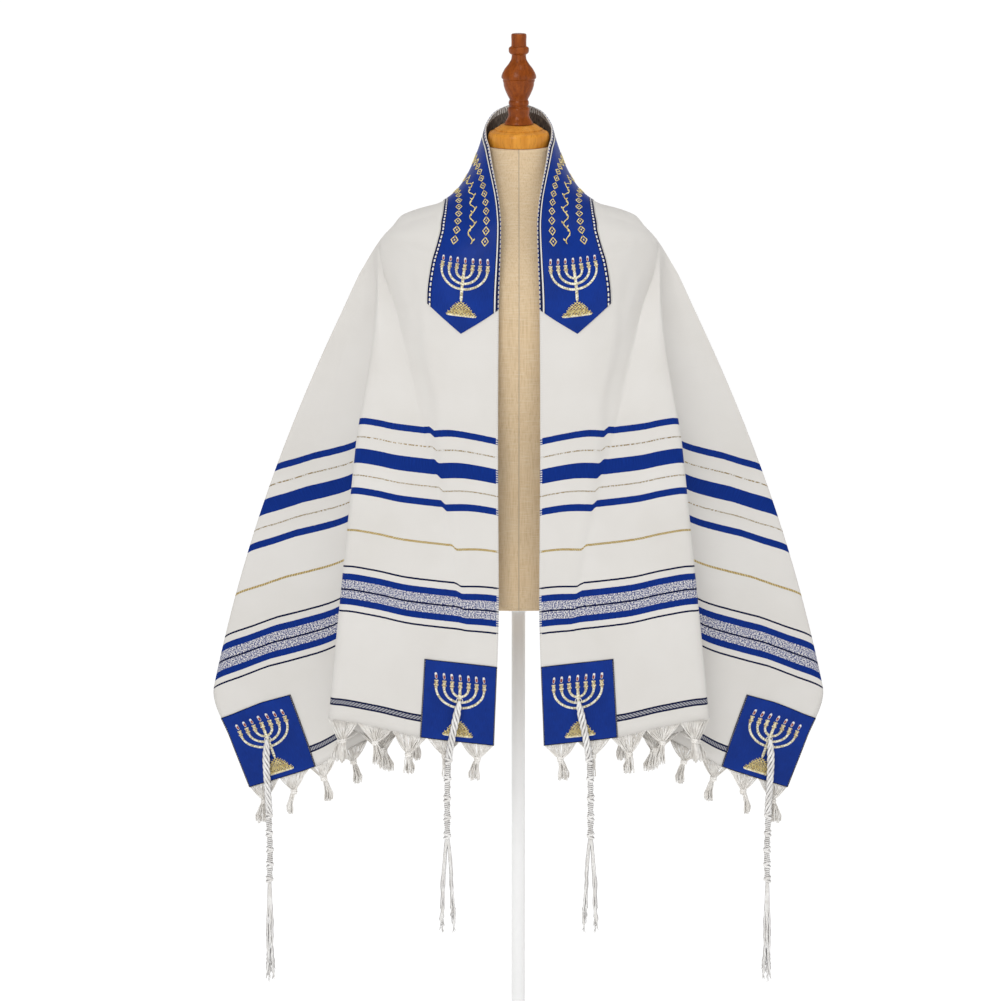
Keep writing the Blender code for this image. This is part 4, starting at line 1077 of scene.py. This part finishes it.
def cordLine(line, holeV):
    # from the hole down the patch and clear of the fringe's line: drops, and out, back, up, radius
    spec = tzitzitSpec
    holeU, holeV = np.array([spec["holeU"]]), np.array([holeV])
    here, face = clothPoint(holeU, holeV)[0], clothNormal(holeU, holeV)[0]
    beside = np.clip(holeV + np.linspace(-0.5, 0.5, 9) * trimSpec["patchWidth"], 0, clothWidth)
    fringeLine = clothPoint(np.zeros(9), beside)
    stops = []
    for drop, sideways, radius in line:
        spot = here + face * (trimTop + spec["standOff"] + radius) + np.array([sideways, 0, -drop])
        if drop > 0:
            edgeBack = np.interp(spot[0], fringeLine[:, 0], fringeLine[:, 1])
            spot[1] = min(spot[1], edgeBack - spec["clearance"] - radius)
        stops.append([drop, *spot, radius])
    drops = np.arange(0, line[-1, 0] + 1e-6, spec["spacing"])
    return drops, steadyCurve(np.array(stops), drops)


def makeTzitzit(key, side):
    # four cords twist from the hole to the first knot, then one winds round the others
    # between double knots, and eight strands hang from the last
    spec, kind = tzitzitSpec, tzitzitSpec[key]
    rng = np.random.default_rng(spec["seed"] + kind["seedShift"])
    holeV = patchLow[key] + trimSpec["patchWidth"] / 2
    drops, line = cordLine(kind["line"], holeV)
    knots = kind["knots"]
    upper, lower = drops <= knots[0], drops >= knots[0]
    spine, radius = line[upper, :3], line[upper, 3]
    parted = np.clip(drops[upper] / spec["plyOpens"] + spec["plyFrom"], 0, 1)
    swell = (radius - spec["plySwing"]) * parted
    turn = drops[upper] / spec["pitch"] * 2 * np.pi
    plies = [ringPath(spine, ply * 2 * np.pi / spec["plies"] - turn, swell, 0 * turn, 0.8)
             for ply in range(spec["plies"])]
    parts = [tubes(plies, spec["plyRadius"], 8), tubes(spine[None], radius * spec["heart"], 8),
             tubes(line[None, lower, :3], spec["coreRadius"], 8)]
    # the winding round the core, which is never quite even
    fine = np.arange(knots[0], knots[-1], spec["windStep"])
    a = (fine - knots[0]) / spec["windPitch"] * 2 * np.pi
    out = spec["windOut"]
    for size, rate in spec["windUneven"]:
        out = out + size * np.sin(fine * rate)
    wound = ringPath(follow(fine, drops, line[:, :3]), a, out, 0 * a)
    parts.append(tubes(wound[None], spec["windRadius"], 6))
    t = np.linspace(0, 2 * np.pi, 19)
    out = spec["knotOut"]
    for place in knots:
        foot = follow([place], drops, line[:, :3])[0]
        for way in (1, -1):
            up = way * (spec["knotGap"] + np.cos(t) * out * spec["knotTilt"])
            parts.append(tubes(ringPath(foot, t, out, up, 0.9)[None], spec["knotThread"], 7))
    # the strands fall in two bundles, each strand with a small knot above its frayed end
    strands, hairs = [], []
    t = np.linspace(0, 1, 34)
    for strand in range(spec["strands"]):
        bundle, member = divmod(strand, spec["strands"] // 2)
        apart = (bundle - 0.5) * 2 * kind["apart"]
        inside = [(place - 0.5) * spec["strandGap"] * (0.6 + 0.5 * t) for place in (member % 2, member // 2)]
        long = kind["strand"] - spec["shorter"] * ((strand * 5) % 6) * rng.uniform(0.8, 1.2)
        sway = 0
        for size, rates in spec["sways"]:
            sway = sway + size * np.sin(t * rng.uniform(*rates) + rng.uniform(0, 6)) * t
        strands.append(foot + np.column_stack([
            apart * t**0.7 * (1 - 0.12 * t) + inside[0] + sway, inside[1] + sway * 0.5, -long * t]))
    place, long, thicker = spec["endKnot"]
    knob = 1 + thicker * np.exp(-(((t - place) / long) ** 2)) - 0.25 * (t > 0.96)
    parts.append(tubes(strands, spec["strandRadius"] * knob, 6))
    s = np.linspace(0, 1, 5)[:, None]
    out, back, bend = spec["hairOut"], spec["hairBack"], spec["hairBend"]
    for strand in strands:
        for _ in range(spec["hairs"]):
            way = np.array([rng.uniform(-out, out), rng.uniform(-back, back),
                            -spec["hairLength"] * rng.uniform(*spec["hairVaries"])])
            aside = np.array([rng.uniform(-bend, bend), 0, 0])
            hairs.append(strand[-2] + way * s + aside * np.sin(np.pi * s))
    parts.append(tubes(hairs, np.linspace(*spec["hairRadii"], 5), 4))
    # a worked eyelet round the hole
    t = np.linspace(0, 2 * np.pi, 25)
    eye = clothPoint(spec["holeU"] + np.cos(t) * spec["eyelet"], holeV + np.sin(t) * spec["eyelet"],
                     trimTop + spec["standOff"])
    parts.append(tubes(eye[None], spec["eyeletThread"], 6))
    return joinParts(f"tzitzitCord_{key}_{side}", side, parts, threads["cord"])


tzitzits = {(key, side): makeTzitzit(key, side) for side in sides for key in patchLow}
print("stage: corner tassels tied")


# The form

def makeForm():
    # each ring is a soft oval, |x / width|^2.2 + |y / depth|^2.2 = 1; the hem turns under
    low = torsoRings[0, 0]
    heights = np.linspace(low, neckTop, formSpec["rows"])
    rolled = formSpec["hem"]
    upper = heights[heights > low + rolled[-1, 0] * 1.1]
    rows = np.concatenate([low + rolled[:, 0], upper])
    inset = np.concatenate([rolled[:, 1], np.zeros(len(upper))])
    widths = follow(rows, heights, steadyCurve(torsoRings, heights)) + inset[:, None]
    angle = circle(formSpec["sides"])
    power = 2 / formSpec["power"]
    out, back = (widths[:, i:i + 1] * np.sign(part) * np.abs(part) ** power
                 for i, part in enumerate((np.cos(angle), np.sin(angle))))
    up = rows[:, None] + neckLean(back, rows[:, None])
    points = np.stack([out, back, up], -1).reshape(-1, 3)
    return closedPiece("linenForm", points, tubeFaces(len(rows), formSpec["sides"]), None, linenMaterial)


def softCorners(profile, radius):
    # replaces each inner corner of a profile by three points on a small curve
    made = [profile[0]]
    for before, here, after in zip(profile[:-2], profile[1:-1], profile[2:]):
        back, ahead = before - here, after - here
        backLong, aheadLong = np.linalg.norm(back), np.linalg.norm(ahead)
        reach = min(radius, backLong * 0.4, aheadLong * 0.4)
        first, last = here + back / backLong * reach, here + ahead / aheadLong * reach
        made += [first, 0.25 * first + 0.5 * here + 0.25 * last, last]
    return np.array([*made, profile[-1]])


def turned(name, profile, foot, tilt, sides, radius, material):
    # radius and height turned round the upright axis, leaned forward about its foot
    line = softCorners(fromMillimetres(profile), radius)
    angle = circle(sides)
    out, back = line[:, :1] * np.cos(angle), line[:, :1] * np.sin(angle)
    up = np.broadcast_to(line[:, 1:], out.shape)
    leaned = back * math.cos(tilt) - up * math.sin(tilt)
    raised = back * math.sin(tilt) + up * math.cos(tilt)
    points = np.stack([out, leaned, raised], -1).reshape(-1, 3) + (0, 0, foot)
    return closedPiece(name, points, gridFaces(len(line), sides, True), None, material)


# Turned pieces: radius and height in mm from the top down, over the neck or over the floor
woodSpec = {
    "cap": [
        (0, 28.0), (22.5, 28.0), (25.0, 26.2), (29.0, 23.5), (31.8, 22.1), (30.9, 21.1), (33.2, 20.5),
        (35.5, 19.2), (37.8, 18.5), (40.0, 14.5), (40.6, 8.5), (40.2, 2.0), (39.5, 0.3), (0, 0.3)],
    "finial": [
        (0, 146.0), (8.5, 145.8), (9.8, 145.0), (10.0, 142.0), (9.7, 135.5), (9.9, 129.2), (12.2, 128.5),
        (13.2, 126.8), (13.2, 122.5), (11.8, 120.0), (9.4, 119.0), (9.3, 116.5), (10.1, 112.0),
        (13.5, 106.5), (18.3, 100.5), (21.6, 94.5), (22.8, 90.5), (22.6, 88.2), (20.5, 86.8), (21.1, 85.0),
        (20.1, 83.0), (19.7, 78.5), (17.8, 72.5), (14.8, 66.0), (11.7, 60.2), (13.1, 58.0), (13.3, 55.5),
        (12.8, 53.8), (11.4, 52.0), (14.2, 49.5), (14.6, 47.0), (14.1, 44.5), (13.6, 40.0), (15.0, 36.0),
        (18.1, 31.2), (18.9, 29.6), (18.6, 28.3), (0, 28.3)],
}
socketFoot = torsoRings[0, 0] - 0.0123      # its top stops just under the form
standSpec = {      # profile, foot, sides, corner radius
    "base": ([(0, 10.0), (158, 10.0), (162.5, 9.2), (165, 6.8), (165, 0), (0, 0)], 0, 128, 0.0015),
    "flange": ([(0, 14.8), (14, 14.8), (21, 12.8), (24, 10.1), (0, 10.1)], 0, 64, 0.0010),
    "socket": ([(0, 12), (26, 12), (26, 7.4), (14.5, 0), (0, 0)], socketFoot, 64, 0.0010),
    "pole": ([(0, 800.4), (9, 800.4), (9, 10.3), (0, 10.3)], 0, 48, 0.0006),
}

form = makeForm()
cap = turned("woodCap", woodSpec["cap"], neckTop, formSpec["tilt"], 96, 0.0011, goldenWood)
finial = turned("woodFinial", woodSpec["finial"], neckTop, formSpec["tilt"], 96, 0.0012, redWood)
stand = {}
for key, (profile, foot, around, radius) in standSpec.items():
    stand[key] = turned(f"stand{key.title()}", profile, foot, 0.0, around, radius, whitePaint)
print("stage: form and stand made")

# What each piece stands for
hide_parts("shawl")
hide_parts("neckband")
for side in sides:
    for key in patchLow:
        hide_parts(f"patch_{key}_{side}")
        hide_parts(f"tzitzit_{key}_{side}")
    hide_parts(f"fringe_{side}")
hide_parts("torso_form")
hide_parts("neck_cap")
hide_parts("finial")
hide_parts("base")
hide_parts("pole_socket")
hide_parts("pole")
slots = {
    "white_cloth": [shawl],
    "blue_satin": [neckband, *patches.values(), *embroidery.values()],
    "white_thread": [*fringes.values(), *tzitzits.values()],
    "beige_linen": [form],
    "golden_wood": [cap],
    "red_brown_wood": [finial],
    "white_steel": [*stand.values()],
}
for slotName, pieces in slots.items():
    for piece in pieces:
        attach(piece, "root")

# Studio
studioSpec = {
    "scale": 1.323, "distance": 4.2, "pitch": math.radians(6.0), "centreX": -0.02381, "centreZ": 0.94751,
    "sensor": 36, "pixels": 1001,
    "floorSize": 60.0, "floorRows": 9, "floorDrop": 0.0002,
    "floorTone": (0.35, 0.35, 0.35, 1), "floorGlow": 0.90,
    "skyFades": (0.17, 0.34), "horizonLight": 1.02, "skyLight": 0.30,
    "lights": [      # name, place, aims at, size, power
        ("key", (-1.2, -3.3, 3.4), (0, 0, 1.05), 1.7, 57),
        ("fill", (2.6, -2.6, 2.1), (0, 0, 1.2), 2.0, 9),
        ("top", (0.3, -0.2, 3.8), (0, 0, 1.1), 1.8, 26),
    ],
}


def makeStudio():
    spec = studioSpec
    scene = bpy.context.scene
    scene.view_settings.view_transform = "Standard"
    scene.view_settings.look = "None"
    rows = spec["floorRows"]
    reach = np.linspace(-0.5, 0.5, rows) * spec["floorSize"]
    across, away = np.meshgrid(reach, reach)
    points = np.column_stack([across.ravel(), away.ravel(), np.full(rows * rows, -spec["floorDrop"])])
    material, tree = newMaterial("studioFloor")
    fill(tree.nodes["Principled BSDF"], {
        "Base Color": spec["floorTone"], "Roughness": 0.9, "Specular IOR Level": 0.0,
        "Emission Color": (1, 1, 1, 1), "Emission Strength": spec["floorGlow"]})
    addPiece("studioFloor", points, gridFaces(rows, rows), None, material)
    # bright all round the horizon, dimmer overhead
    world = bpy.data.worlds.new("studioWorld")
    world.use_nodes = True
    tree = world.node_tree
    up = split(node(tree, "ShaderNodeTexCoord", {}).outputs["Generated"])[2]
    strength = ramp(up, *spec["skyFades"], spec["horizonLight"], spec["skyLight"])
    fill(tree.nodes["Background"], {0: (1, 1, 1, 1), 1: strength})
    scene.world = world
    for name, place, aim, size, power in spec["lights"]:
        light = bpy.data.lights.new(name, "AREA")
        light.size = size
        light.energy = power
        lamp = bpy.data.objects.new(name, light)
        lamp.location = place
        lamp.rotation_euler = (Vector(aim) - Vector(place)).to_track_quat("-Z", "Y").to_euler()
        scene.collection.objects.link(lamp)
    camera = bpy.data.objects.new("camera", bpy.data.cameras.new("camera"))
    distance, pitch = spec["distance"], spec["pitch"]
    camera.location = (spec["centreX"], -distance * math.cos(pitch),
                       spec["centreZ"] + distance * math.sin(pitch))
    camera.rotation_euler = (math.pi / 2 - pitch, 0, 0)
    camera.data.sensor_width = spec["sensor"]
    camera.data.lens = distance * 1000 / spec["scale"] * spec["sensor"] / spec["pixels"]
    camera.data.clip_end = spec["floorSize"]
    scene.collection.objects.link(camera)
    scene.camera = camera


makeStudio()
print("stage: studio lit")
